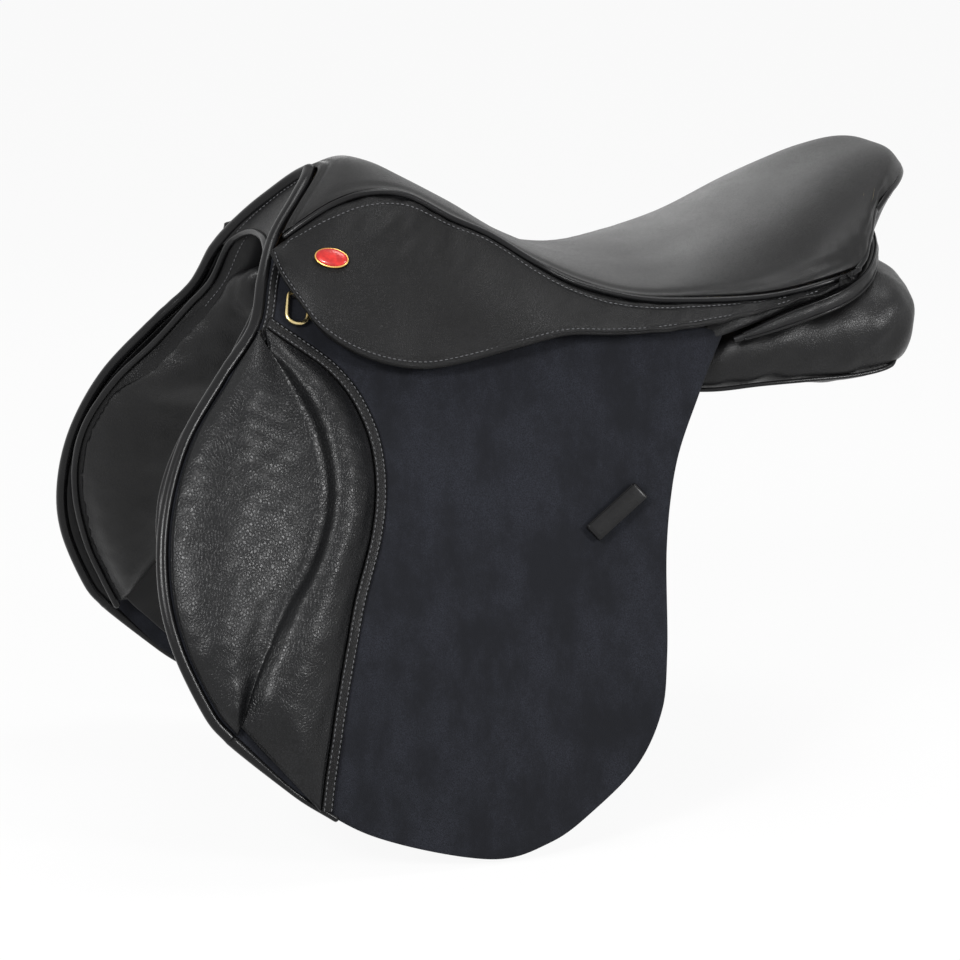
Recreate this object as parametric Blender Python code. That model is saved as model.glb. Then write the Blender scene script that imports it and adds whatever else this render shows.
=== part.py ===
# English general-purpose saddle for a pony, 16 inch seat, modelled in metres.
# +X runs back to the cantle, +Z is up and -Y is the near side.
# The origin lies on the centre plane, in the channel between the panels, under the lowest part of the seat.
import math

import bmesh
import bpy
from mathutils import Matrix, Vector

mm = 0.001

# Seat
seat_leather = 0.002
foam_thickness = 0.007
welt_diameter = 0.0042
facing_leather = 0.002
cantle_roll_height = 0.012
cantle_roll_depth = 0.009

# Flap, knee pad and front roll
flap_length = 0.381
flap_depth = 0.316
flap_top_x = 0.038
flap_top_z = 0.003
flap_leather = 0.003
knee_pad_height = 0.017
knee_pad_edge = 0.0025
knee_strip_width = 0.008
knee_strip_leather = 0.0022
front_roll_diameter = 0.0076
keeper_leather = 0.0015
keeper_hollow = 0.0045

# Skirt, dee and badge
skirt_leather = 0.0025
skirt_bulge = 0.009
dee_wire = 0.0028
dee_width = 0.0139
dee_height = 0.0205
dee_turn = 14.0
chape_width = 0.009
chape_leather = 0.0012
badge_length = 0.022
badge_height = 0.014
badge_thickness = 0.0022

# Panels, sweat flaps and girth straps
panel_roll_diameter = 0.005
panel_welt_diameter = 0.003
lobe_edge = 0.004
lobe_height = 0.020
sweat_flap_leather = 0.0025
strap_space = 0.0115
strap_width = 0.025
strap_leather = 0.0032
strap_length = 0.245
strap_pitch = 0.033
strap_middle_x = -0.117
strap_top_z = -0.010
guard_leather = 0.0014
strap_holes = 6
strap_hole_diameter = 0.0045
strap_hole_pitch = 0.014
guard_height = 0.055

# Tree, its plates and the stirrup bars
arch_width = 0.026
arch_thickness = 0.007
rail_width = 0.024
rail_thickness = 0.007
plate_thickness = 0.0016
web_width = 0.045
web_thickness = 0.0015
girth_web_thickness = 0.0025
girth_web_lap = 0.012
bar_length = 0.058
bar_height = 0.009
bar_thickness = 0.005
bar_opening = 0.008
bar_plate_depth = -0.0045
catch_length = 0.016
pin_diameter = 0.004

# Gap between pieces that touch
clearance = 0.0003

sides = {"near": -1, "off": 1}

# Half widths of the saddle at the flap in mm, against height in mm: along its front edge, and towards its rear
front_half_widths = [(-330, 188), (-221, 177), (-161, 163), (-120, 147), (-82, 131), (-41, 112), (-5, 94), (23, 79),
                     (52, 61), (76, 42), (112, 14)]
rear_half_widths = [(-330, 178), (-221, 167), (-161, 158), (-90, 146), (-41, 136), (10, 124), (35, 116), (60, 100),
                    (76, 84), (112, 60)]

# Pairs down the seat, in mm: a point on its edge, then the point of the centre line that goes with it
seat_edge = [(-241, 44, 74), (-222, 48, 88), (-201, 50, 100), (-178, 51, 106), (-153, 52, 103), (-123, 56, 87),
             (-99, 62, 75), (-70, 74, 57), (-46, 90, 45), (-12, 108, 37), (23, 120, 36), (70, 130, 38),
             (109, 133, 45), (138, 125, 52), (152, 108, 67), (163, 90, 81), (167, 85, 82)]
seat_middle = [(-203, 0, 112), (-190, 0, 118), (-178, 0, 120), (-160, 0, 115), (-143, 0, 106), (-114, 0, 90),
               (-90, 0, 75), (-62, 0, 60), (-36, 0, 50), (-2, 0, 44), (33, 0, 47), (80, 0, 64),
               (122, 0, 87), (152, 0, 102), (176, 0, 111), (197, 0, 114), (209, 0, 103)]

# How far down those pairs the seat leather starts, behind the roll round its front
seat_front_place = 0.31
welt_start = 0.45

# The roll round the front of the head, in mm, down to where the flap takes it on
head_roll_line = [(-204, 0, 112), (-210, 11, 106), (-221, 23, 95), (-240, 41, 75), (-253, 62, 53)]

# Lower front edge of the head, where the panels meet it, in mm
head_edge_line = [(-239, 0, 71), (-240, 17, 70), (-243, 34, 65), (-248, 47, 56)]

# Middle of the soft roll that runs from under the skirt round the foot of the cantle, in mm
cantle_roll_line = [(47, 130, 7), (62, 132, 12), (84, 132, 19), (118, 131, 29.5), (142, 119, 39.5), (158, 97, 52),
                    (170, 60, 60), (175, 25, 61), (176, 0, 61)]

# Lower edge of the skirt, in mm, each with the place along the seat's edge that it hangs from
skirt_lower_edge = [(0.3, (-247, 57, 69)), (0.5, (-244, 72, 55)), (0.9, (-234, 87, 37)), (1.5, (-224, 96, 22)),
                    (2.3, (-207, 104, 9.5)), (3.2, (-185, 112, 1)), (4.0, (-160, 115, -3)), (4.9, (-135, 119, 0.5)),
                    (6.0, (-98, 124, 9.5)), (7.0, (-67, 128, 16.5)), (8.2, (-39, 132, 16)), (9.1, (-11, 135, 16)),
                    (10.0, (17, 138, 19)), (11.0, (55, 138, 24.5)), (11.7, (83, 139, 32)), (12.2, (106, 137.5, 38)),
                    (12.7, (122, 135, 42))]

# Shares of the flap's length and depth, counted forward and down from the top of its rear edge
flap_front_edge = [(0.747, -0.200), (0.764, -0.158), (0.793, -0.066), (0.861, 0.025), (0.937, 0.139),
                   (0.984, 0.269), (1.0, 0.400), (0.987, 0.519), (0.942, 0.649), (0.908, 0.703)]
flap_lower_edge = [(0.908, 0.703), (0.806, 0.820), (0.669, 0.927), (0.467, 1.0), (0.354, 0.981), (0.273, 0.927),
                   (0.189, 0.842), (0.142, 0.737), (0.127, 0.617), (0.118, 0.400), (0.092, 0.231), (0.042, 0.092),
                   (0.0, 0.0)]
flap_upper_edge = [(0.0, 0.0), (0.110, -0.030), (0.260, -0.045), (0.425, -0.045), (0.620, -0.052), (0.640, -0.150),
                   (0.700, -0.190), (0.747, -0.200)]

# Lines that the flap and the skirt's front lobe bend along, and how far outside them their axes lie at each end
flap_fold = [(0.803, -0.047), (0.021, 0.098)]
flap_axis_lifts = (0.0008, 0.0053)
skirt_fold = [(-238, 76, 49), (-60, 129, 20.75)]
skirt_axis_lifts = (0.010, 0.0018)

pad_rear_edge = [(0.777, -0.060), (0.672, 0.038), (0.630, 0.130), (0.622, 0.225), (0.640, 0.332), (0.688, 0.475),
                 (0.727, 0.642), (0.751, 0.775), (0.763, 0.862)]
pad_crease = [(0.777, -0.022), (0.743, 0.054), (0.714, 0.149), (0.711, 0.263), (0.745, 0.373), (0.801, 0.468),
              (0.856, 0.576), (0.893, 0.680)]
pad_row_count = 13

# Section of the knee pad: share of the way from its front to its crease, or past 1 on to its rear, and share of height
pad_section = [(0.0, 0.0), (0.08, 0.38), (0.22, 0.55), (0.45, 0.46), (0.80, 0.25), (1.0, 0.30), (1.10, 0.80),
               (1.28, 1.0), (1.50, 0.95), (1.75, 0.60), (2.0, 0.0)]
keeper_corners = [(0.265, 0.348), (0.244, 0.377), (0.152, 0.294), (0.173, 0.265)]
sweat_flap_outline = [(0.700, -0.070), (0.765, -0.050), (0.887, 0.120), (0.945, 0.247), (0.963, 0.389), (0.941, 0.516),
                      (0.904, 0.617), (0.868, 0.687), (0.777, 0.794), (0.664, 0.877), (0.567, 0.921), (0.467, 0.943),
                      (0.362, 0.927), (0.289, 0.883), (0.220, 0.807), (0.178, 0.722), (0.163, 0.611), (0.155, 0.437),
                      (0.140, 0.320), (0.110, 0.180), (0.080, 0.080), (0.110, 0.030), (0.257, 0.009), (0.493, -0.006)]
panel_front_edge = [(0.774, -0.113), (0.810, -0.051), (0.862, 0.033), (0.927, 0.117), (0.972, 0.213), (0.988, 0.307),
                    (0.982, 0.411), (0.956, 0.528), (0.925, 0.614), (0.896, 0.686)]
lobe_rear_edge = [(0.560, -0.060), (0.470, 0.020), (0.460, 0.120), (0.540, 0.206), (0.638, 0.301), (0.730, 0.415),
                  (0.803, 0.532), (0.850, 0.606), (0.888, 0.670)]

# The tree's arch, in mm: the top of the head, then places down its side as X and Z
arch_top_line = [(-193, 0, 96), (-200, 17, 89), (-210, 32, 74)]
arch_side_line = [(-222, 50), (-231, 26), (-235, 4), (-236, -16)]

# The tree's rails: places down the seat, share of the way out to its edge, and extra depth in mm
rail_route = [(2.9, 0.0, 1.0), (2.9, 0.25, 1.0), (3.1, 0.45, 0.5), (3.7, 0.57, 0.0), (4.6, 0.60, 0.0), (5.6, 0.60, 0.0),
              (6.8, 0.60, 0.0), (8.0, 0.60, 0.0), (9.5, 0.60, 0.0), (11.0, 0.61, 0.0), (12.2, 0.60, 0.0),
              (13.1, 0.50, 0.0), (13.7, 0.28, 0.0), (13.9, 0.0, 0.0)]

# Middle of the stirrup bar on the tree's side as X and Z in mm, and the outline of its plate about there
bar_place = (-166, 32)
bar_plate_outline = [(-38, -12), (34, -12), (38, -7), (38, 22), (30, 34), (-26, 38), (-38, 26)]

# The dee's straight bar as X and Z in mm, and the badge as a place along the skirt and a share of the way down it
dee_place = (-232, 40)
badge_place = (3.4, 0.405)

# Stations along a panel, in mm: place along X, centre across and up, half width, half height, slope in degrees
panel_stations = [(187, 84, 12, 12, 10, 10), (182, 84, 11, 30, 24, 14), (170, 83, 12, 43, 31, 17),
                  (150, 82, 10, 49, 35, 17), (120, 81, 7, 51, 33, 16), (80, 79, 1, 51, 28, 12),
                  (45, 75, -5, 49, 24, 12), (10, 69, -7, 44, 18, 15), (-35, 63, -6, 39, 14, 22),
                  (-80, 58, -2, 35, 12, 32), (-120, 51, 5, 31, 11, 41), (-155, 44, 11, 29, 10, 48),
                  (-190, 37, 18, 27, 9, 55), (-220, 32, 25, 25, 9, 59), (-238, 31, 28, 19, 8, 60),
                  (-246, 31, 29, 8, 3, 60)]


def smooth_step(t):
    t = min(max(t, 0.0), 1.0)
    return t * t * (3.0 - 2.0 * t)


def along(points, place):
    """A point on the smooth curve through a list of points, at a place counted in points."""
    last = len(points) - 1
    place = min(max(place, 0.0), float(last))
    index = min(int(place), last - 1)
    t = place - index
    p1, p2 = Vector(points[index]), Vector(points[index + 1])
    p0 = Vector(points[index - 1]) if index > 0 else p1 * 2.0 - p2
    p3 = Vector(points[index + 2]) if index + 2 <= last else p2 * 2.0 - p1
    return 0.5 * (2.0 * p1 + (p2 - p0) * t + (2.0 * p0 - 5.0 * p1 + 4.0 * p2 - p3) * t ** 2
                  + (3.0 * p1 - p0 - 3.0 * p2 + p3) * t ** 3)


def spline(points, count):
    """Count points spread along the smooth curve through a list of points."""
    last = len(points) - 1
    return [along(points, last * i / (count - 1)) for i in range(count)]


def mirrored(half):
    """A line over the centre plane, given its off half from the middle outwards."""
    return [Vector((p[0], -p[1], p[2])) for p in reversed(half[1:])] + [Vector(p) for p in half]


def value_at(pairs, x):
    """Read a smooth curve given as rising (x, y) pairs."""
    for index in range(len(pairs) - 1):
        if x <= pairs[index + 1][0] or index == len(pairs) - 2:
            span = pairs[index + 1][0] - pairs[index][0]
            return along(pairs, index + min(max((x - pairs[index][0]) / span, 0.0), 1.0))[1]


def flap_place(share):
    """X and Z of a point given in shares of the flap's length and depth."""
    return flap_top_x - share[0] * flap_length, flap_top_z - share[1] * flap_depth


def half_width(x, z):
    blend = smooth_step((x + 230 * mm) / (260 * mm))
    front = value_at(front_half_widths, z / mm)
    rear = value_at(rear_half_widths, z / mm)
    return (front + (rear - front) * blend) * mm


def side_point(x, z, depth):
    """A point at a depth outside the inner face of the flap, on the off side."""
    step = 3 * mm
    slope_x = (half_width(x + step, z) - half_width(x - step, z)) / (2.0 * step)
    slope_z = (half_width(x, z + step) - half_width(x, z - step)) / (2.0 * step)
    normal = Vector((-slope_x, 1.0, -slope_z)).normalized()
    return Vector((x, half_width(x, z), z)) + normal * depth


def seat_surface(place, v):
    """A point on the seat: place counts along the pairs, v runs from -1 on the near edge to 1 on the off edge."""
    edge, middle = along(seat_edge, place) * mm, along(seat_middle, place) * mm
    soft = 0.12
    a = (math.hypot(v, soft) - soft) / (math.hypot(1.0, soft) - soft)
    rear = smooth_step(place / 8.0)
    power = 1.25 + 1.15 * rear
    rolled = 0.12 + 0.28 * rear
    fall = (1.0 - rolled) * a ** power + rolled * (1.0 - math.sqrt(max(0.0, 1.0 - v ** 4)))
    return Vector((middle.x + (edge.x - middle.x) * a ** power, edge.y * v, middle.z + (edge.z - middle.z) * fall))


def seat_point(place, v, depth):
    """A point at a depth under the seat's surface."""
    step = 0.02
    last = len(seat_edge) - 1
    ahead = seat_surface(min(place + 0.1, last), v) - seat_surface(max(place - 0.1, 0.0), v)
    across = seat_surface(place, min(v + step, 1.0)) - seat_surface(place, max(v - step, -1.0))
    return seat_surface(place, v) - ahead.cross(across).normalized() * depth


def make_material(name, colour, roughness, metallic=0.0):
    material = bpy.data.materials.new(name)
    material.use_nodes = True
    shader = material.node_tree.nodes["Principled BSDF"]
    shader.inputs["Base Color"].default_value = (*colour, 1.0)
    shader.inputs["Roughness"].default_value = roughness
    shader.inputs["Metallic"].default_value = metallic
    return material


def add_joint(name, location, parent=None):
    """An empty on a joint's axis, which carries the pieces that turn on it."""
    joint = bpy.data.objects.new(name, None)
    bpy.context.collection.objects.link(joint)
    joint.empty_display_size = 0.02
    joint["world"] = tuple(location)
    joint.location = location
    if parent:
        joint.parent = parent
        joint.location = Vector(location) - Vector(parent["world"])
    return joint


def add_object(name, data, material, joint=None, smooth=True):
    """Link a finished mesh or curve, on a joint's empty if it turns."""
    data.materials.append(material)
    piece = bpy.data.objects.new(name, data)
    bpy.context.collection.objects.link(piece)
    if joint:
        data.transform(Matrix.Translation(-Vector(joint["world"])))
        piece.parent = joint
    if smooth and hasattr(data, "shade_smooth"):
        data.shade_smooth()
        data.set_sharp_from_angle(angle=math.radians(40))
    return piece


def finish_mesh(name, bm, material, side=1, joint=None, smooth=True):
    """Turn a closed bmesh, modelled on the off side, into a piece of its own side."""
    for vert in bm.verts:
        vert.co.y *= side
    bmesh.ops.triangulate(bm, faces=[face for face in bm.faces if len(face.verts) > 4])
    bmesh.ops.recalc_face_normals(bm, faces=bm.faces)
    mesh = bpy.data.meshes.new(name)
    bm.to_mesh(mesh)
    bm.free()
    return add_object(name, mesh, material, joint, smooth)


def tube(name, points, diameter, material, side=1, joint=None, resolution=1):
    """A round roll or wire through points, as a curve with a bevel and filled ends."""
    curve = bpy.data.curves.new(name, "CURVE")
    curve.dimensions = "3D"
    curve.bevel_depth = diameter / 2.0
    curve.bevel_resolution = resolution
    curve.use_fill_caps = True
    curve.resolution_u = 1
    line = curve.splines.new("POLY")
    line.points.add(len(points) - 1)
    for target, point in zip(line.points, points):
        target.co = (point[0], point[1] * side, point[2], 1.0)
    return add_object(name, curve, material, joint)


def loft(rings, closed=False):
    """A closed body through rings of points, with flat ends or joined end to end."""
    bm = bmesh.new()
    rows = [[bm.verts.new(point) for point in ring] for ring in rings]
    count = len(rows[0])
    pairs = list(zip(rows, rows[1:]))
    if closed:
        pairs.append((rows[-1], rows[0]))
    for first, second in pairs:
        for i in range(count):
            j = (i + 1) % count
            bm.faces.new((first[i], first[j], second[j], second[i]))
    if not closed:
        bm.faces.new(list(reversed(rows[0])))
        bm.faces.new(rows[-1])
    return bm


def sheet(upper, lower):
    """A closed sheet between two grids of points of the same size."""
    bm = bmesh.new()
    top = [[bm.verts.new(point) for point in row] for row in upper]
    bottom = [[bm.verts.new(point) for point in row] for row in lower]
    rows, columns = len(top), len(top[0])
    for i in range(rows - 1):
        for j in range(columns - 1):
            bm.faces.new((top[i][j], top[i][j + 1], top[i + 1][j + 1], top[i + 1][j]))
            bm.faces.new((bottom[i][j], bottom[i + 1][j], bottom[i + 1][j + 1], bottom[i][j + 1]))
    rim = [(0, j) for j in range(columns)] + [(i, columns - 1) for i in range(1, rows)]
    rim += [(rows - 1, j) for j in range(columns - 2, -1, -1)] + [(i, 0) for i in range(rows - 2, 0, -1)]
    for (a, b), (c, d) in zip(rim, rim[1:] + rim[:1]):
        bm.faces.new((top[a][b], bottom[a][b], bottom[c][d], top[c][d]))
    return bm


def band(line_a, line_b, steps, thickness, bulge=0.0):
    """A closed sheet of leather between two edges, swelling outwards in the middle."""
    upper, lower = [], []
    for first, second in zip(line_a, line_b):
        upper.append([first.lerp(second, i / steps) for i in range(steps + 1)])
    rows, columns = len(upper), steps + 1
    normals = []
    for i in range(rows):
        row = []
        for j in range(columns):
            ahead = upper[min(i + 1, rows - 1)][j] - upper[max(i - 1, 0)][j]
            across = upper[i][min(j + 1, steps)] - upper[i][max(j - 1, 0)]
            row.append(across.cross(ahead).normalized())
        normals.append(row)
    for i in range(rows):
        for j in range(columns):
            swell = bulge * math.sin(math.pi * j / steps) * math.sin(math.pi * min(1.0, 2.0 * (i + 0.5) / rows) / 2.0)
            upper[i][j] = upper[i][j] + normals[i][j] * swell
        lower.append([point - normal * thickness for point, normal in zip(upper[i], normals[i])])
    return sheet(upper, lower)


def cut_pattern(outline, cell):
    """Cut a flat outline in X and Z into a grid, as corner points and faces."""
    bm = bmesh.new()
    bm.faces.new([bm.verts.new((x, 0.0, z)) for x, z in outline])
    for axis in (0, 2):
        values = [vert.co[axis] for vert in bm.verts]
        normal = Vector((1, 0, 0)) if axis == 0 else Vector((0, 0, 1))
        for step in range(math.ceil(min(values) / cell), math.floor(max(values) / cell) + 1):
            geometry = bm.verts[:] + bm.edges[:] + bm.faces[:]
            bmesh.ops.bisect_plane(bm, geom=geometry, plane_co=normal * (step * cell), plane_no=normal, dist=0.0002)
    bm.verts.index_update()
    points = [(vert.co.x, vert.co.z) for vert in bm.verts]
    faces = [[vert.index for vert in face.verts] for face in bm.faces]
    bm.free()
    return points, faces


def leather(outline, inner, outer, cell=30 * mm):
    """Leather cut to an outline and bent over the saddle's side, between two depths or functions of X and Z."""
    points, faces = cut_pattern(outline, cell)
    bm = bmesh.new()
    layers = []
    for depth in (inner, outer):
        layer = []
        for x, z in points:
            here = depth(x, z) if callable(depth) else depth
            layer.append(bm.verts.new(side_point(x, z, here)))
        layers.append(layer)
    inside, outside = layers
    edges = {}
    for face in faces:
        bm.faces.new([outside[i] for i in face])
        bm.faces.new([inside[i] for i in reversed(face)])
        for i, j in zip(face, face[1:] + face[:1]):
            edges[(i, j)] = edges.get((i, j), 0) + 1
    for i, j in edges:
        if (j, i) not in edges:
            bm.faces.new((outside[j], outside[i], inside[i], inside[j]))
    return bm


def inset(points, distance):
    """Move an open line of (x, z) points sideways, towards the middle of the flap."""
    moved = []
    for index, point in enumerate(points):
        before, after = points[max(index - 1, 0)], points[min(index + 1, len(points) - 1)]
        run = Vector((after[0] - before[0], after[1] - before[1])).normalized()
        moved.append((point[0] - run.y * distance, point[1] + run.x * distance))
    return moved


def split_off(bm, point, normal):
    """Keep what lies on the side that a normal points away from, and close the cut."""
    geometry = bm.verts[:] + bm.edges[:] + bm.faces[:]
    bmesh.ops.bisect_plane(bm, geom=geometry, plane_co=point, plane_no=normal, dist=0.00002, clear_outer=True)
    bmesh.ops.holes_fill(bm, edges=[edge for edge in bm.edges if edge.is_boundary], sides=0)
    return bm


def box_section(centre, right, up, width, height):
    """Four corners of a bar's section."""
    return [centre + right * (width / 2.0 * a) + up * (height / 2.0 * b)
            for a, b in ((-1, -1), (1, -1), (1, 1), (-1, 1))]


def cut_away(piece, cutter):
    cutter.hide_render = True
    cutter.display_type = "WIRE"
    boolean = piece.modifiers.new(cutter.name, "BOOLEAN")
    boolean.operation = "DIFFERENCE"
    boolean.solver = "EXACT"
    boolean.object = cutter


def build_seat(looks):
    """Seat leather, the foam and webs under it, and the welts that edge it."""
    last = len(seat_edge) - 1
    places = [seat_front_place + (last - seat_front_place) * i / 20 for i in range(21)]
    across = [math.sin(math.pi * (j / 12 - 0.5)) for j in range(13)]
    upper = [[seat_surface(p, v) for v in across] for p in places]
    lower = [[seat_point(p, v, seat_leather) for v in across] for p in places]
    finish_mesh("seat_cover", sheet(upper, lower), looks["grain"])

    places = places[2:-2]
    across = across[2:-2]
    top = seat_leather + 3.0 * clearance
    upper = [[seat_point(p, v, top) for v in across] for p in places]
    lower = [[seat_point(p, v, top + foam_thickness) for v in across] for p in places]
    finish_mesh("seat_foam", sheet(upper, lower), looks["foam"])

    top += foam_thickness + 4.0 * clearance
    places = places[1:-2]
    half = web_width / 2.0
    upper, lower = [], []
    for p in places:
        edge = seat_surface(p, 1.0).y
        upper.append([seat_point(p, half / edge * w, top) for w in (-1.0, 0.0, 1.0)])
        lower.append([seat_point(p, half / edge * w, top + web_thickness) for w in (-1.0, 0.0, 1.0)])
    finish_mesh("seat_web_long", sheet(upper, lower), looks["web"])

    top += web_thickness + 2.0 * clearance
    across = [0.62 * (j / 4 - 1.0) for j in range(9)]
    for name, place in (("seat_web_front", 7.0), ("seat_web_rear", 8.6)):
        reach = 0.55
        along_seat = (place - reach, place, place + reach)
        upper = [[seat_point(p, v, top) for v in across] for p in along_seat]
        lower = [[seat_point(p, v, top + web_thickness) for v in across] for p in along_seat]
        finish_mesh(name, sheet(upper, lower), looks["web"])


def welt_point(place, v=1.0):
    """Centre of the welt that edges the seat, at a place down it."""
    across = (seat_surface(place, v) - seat_surface(place, 0.985 * v)).normalized()
    gap = clearance * (5.0 - 2.0 * smooth_step(place / 2.0))
    return seat_point(place, v, seat_leather / 2.0) + across * (welt_diameter / 2.0 + gap)


def build_welts(looks):
    for name, side in sides.items():
        points = [welt_point(welt_start + (12.8 - welt_start) * i / 25) for i in range(26)]
        tube("seat_welt_" + name, points, welt_diameter, looks["smooth"], side)
    drop = Vector((0.0012, 0.0, -(welt_diameter / 2.0 + 4.0 * clearance)))
    tube("cantle_welt", [point + drop for point in cantle_rim(13.15, 23)], welt_diameter, looks["smooth"])


def cantle_rim(start, count):
    """The seat's edge round the cantle, from a place on its near edge to the same place on its off edge."""
    last = len(seat_edge) - 1
    half = [along(seat_edge, start + (last - start) * i / 7) * mm for i in range(7)]
    half += [seat_surface(last, 1.0 - i / 8) for i in range(9)]
    whole = [Vector((p.x, -p.y, p.z)) for p in half] + list(reversed(half[:-1]))
    return [along(whole, (len(whole) - 1) * i / (count - 1)) for i in range(count)]


def cantle_foot(y):
    """Where the leather at the back of the cantle ends below, at a distance from the centre plane."""
    share = abs(y) / (125 * mm)
    return Vector((0.180 - 0.036 * share ** 2.2, y * 0.97, 0.0688 - 0.012 * share ** 2))


def build_cantle(looks):
    """The leather that closes the back of the cantle, and the soft roll under it."""
    rim = cantle_rim(14.1, 17)
    top = [point + Vector((-0.0025, 0.0, -(welt_diameter + 4.0 * clearance))) for point in rim]
    finish_mesh("cantle_facing", band(top, [cantle_foot(point.y) for point in rim], 3, facing_leather), looks["grain"])

    line = mirrored([Vector(point) * mm for point in reversed(cantle_roll_line)])
    rings = []
    for i in range(27):
        place = (len(line) - 1) * i / 26
        centre = along(line, place)
        run = (along(line, place + 0.05) - along(line, place - 0.05)).normalized()
        out = run.cross(Vector((0, 0, 1))).normalized()
        up = out.cross(run)
        taper = 0.35 + 0.65 * smooth_step(min(i, 26 - i) / 4)
        rings.append([centre + out * (cantle_roll_depth / 2 * taper * math.cos(math.pi * k / 4))
                      + up * (cantle_roll_height / 2 * taper * math.sin(math.pi * k / 4)) for k in range(8)])
    finish_mesh("cantle_roll", loft(rings), looks["grain"])


def skirt_surface(place, t, depth=0.0):
    """A point on the skirt's inner face: place runs back along its lower edge, t from the seat's welt to that edge."""
    last = len(skirt_lower_edge) - 1
    index = min(int(place), last - 1)
    seat_place = skirt_lower_edge[index][0]
    seat_place += (skirt_lower_edge[index + 1][0] - seat_place) * (place - index)
    drop = (welt_diameter + skirt_leather) / 2.0 + 2.0 * clearance
    upper = welt_point(max(seat_place, seat_front_place)) - Vector((0.0, 0.001, drop))
    lower = along([row[1] for row in skirt_lower_edge], place) * mm
    swell = skirt_bulge * math.sin(math.pi * t) * math.sin(math.pi * min(1.0, (place + 0.6) / 9.0))
    outwards = Vector((-0.1, 0.9, 0.42)).normalized()
    return upper.lerp(lower, t) + outwards * (swell + depth)


def skirt_hinge():
    """The line that the skirt's front lobe bends along, as two points."""
    return [Vector(point) * mm for point in skirt_fold]


def fold_hinge():
    """The line that the flap bends along, on its outer face, as two points."""
    return [side_point(*flap_place(share), flap_leather) for share in flap_fold]


def bend_axis(line, lifts):
    """The axis that a fold turns on: its line moved outwards at each end, past the curve of the leather."""
    normal = hinge_plane(line, 0.0)[1]
    outwards = (line[1] - line[0]).cross(normal).normalized()
    if outwards.y < 0:
        outwards = -outwards
    return [point + outwards * lift for point, lift in zip(line, lifts)]


def hinge_plane(line, lift):
    """A point and an upward normal of the plane through a hinge, square to the leather, moved up by a lift."""
    run = (line[1] - line[0]).normalized()
    outwards = Vector((0.0, 0.9, 0.43))
    normal = outwards.cross(run).normalized()
    if normal.z < 0:
        normal = -normal
    return line[0] + normal * lift, normal


def build_skirt(name, side, looks, joint):
    steps = 5
    last = len(skirt_lower_edge) - 1
    places = [last * i / 20 for i in range(21)]
    for part, lift, keep in (("skirt_top_", clearance, -1), ("skirt_", -clearance, 1)):
        inner = [[skirt_surface(p, j / steps) for j in range(steps + 1)] for p in places]
        outer = [[skirt_surface(p, j / steps, skirt_leather) for j in range(steps + 1)] for p in places]
        point, normal = hinge_plane(skirt_hinge(), lift)
        bm = split_off(sheet(outer, inner), point, normal * keep)
        finish_mesh(part + name, bm, looks["grain"], side, joint if keep > 0 else None)


def roll_line():
    """The middle of the roll round the front, from the top of the head down to the tip of the flap."""
    line = [Vector(point) * mm for point in head_roll_line]
    for x, z in [flap_place(share) for share in flap_front_edge[2:]]:
        line.append(side_point(x, z, flap_leather / 2.0))
    return line


def place_at_height(line, height):
    """Where a falling line of points passes a height, counted in points."""
    low, high = 0.0, len(line) - 1.0
    for _ in range(30):
        middle = (low + high) / 2.0
        if along(line, middle).z > height:
            low = middle
        else:
            high = middle
    return low


def build_front_roll(looks, flap_joints):
    line = roll_line()
    level = fold_hinge()[0].z
    stop = place_at_height(line, level + 1.7 * clearance)
    start = place_at_height(line, level - 1.7 * clearance)
    middle = len(line) - 1
    whole = mirrored(line)
    head = [along(whole, middle + stop * (i / 13 - 1.0)) for i in range(27)]
    lower = [along(line, start + (middle - start) * i / 20) for i in range(21)]
    tube("head_roll", head, front_roll_diameter, looks["smooth"])
    for name, side in sides.items():
        tube("flap_roll_" + name, lower, front_roll_diameter, looks["smooth"], side, flap_joints[name])


def flap_outline():
    front = inset([flap_place(share) for share in flap_front_edge], front_roll_diameter / 2.0 + 4.0 * clearance)
    front = [tuple(p)[:2] for p in spline([(x, z, 0.0) for x, z in front], 14)]
    lower = [flap_place(share) for share in flap_lower_edge[1:]]
    lower = [tuple(p)[:2] for p in spline([(x, z, 0.0) for x, z in lower], 23)]
    upper = [flap_place(share) for share in flap_upper_edge[1:-1]]
    return front + lower + upper


def pad_rows():
    """Front edge, crease and rear edge of the knee pad, row by row from its top to its foot, as (x, z) points."""
    gap = front_roll_diameter / 2.0 + 3.0 * clearance
    front = inset([flap_place(share) for share in flap_front_edge[2:]], gap)
    lines = [front] + [[flap_place(share) for share in shares] for shares in (pad_crease, pad_rear_edge)]
    rows = []
    for i in range(pad_row_count):
        t = i / (pad_row_count - 1)
        rows.append([along([(x, z, 0.0) for x, z in line], (len(line) - 1) * t).to_2d() for line in lines])
    return rows


def build_knee_pad(name, side, looks, joint):
    """The knee pad: a soft bulge along its front, a valley and the raised block behind its crease."""
    base = flap_leather + 4.0 * clearance
    rise = knee_pad_height - knee_pad_edge
    upper, lower = [], []
    for i, (front, crease, rear) in enumerate(pad_rows()):
        t = i / (pad_row_count - 1)
        fade = smooth_step(t / 0.22) * smooth_step((1.0 - t) / 0.16)
        top, bottom = [], []
        for share, height in pad_section:
            point = front.lerp(crease, share) if share <= 1.0 else crease.lerp(rear, share - 1.0)
            bottom.append(side_point(*point, base))
            top.append(side_point(*point, base + knee_pad_edge + rise * height * fade))
        upper.append(top)
        lower.append(bottom)
    point, normal = hinge_plane(fold_hinge(), -1 * mm)
    bm = split_off(sheet(upper, lower), point, normal)
    finish_mesh("knee_pad_" + name, bm, looks["grain"], side, joint)


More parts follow.
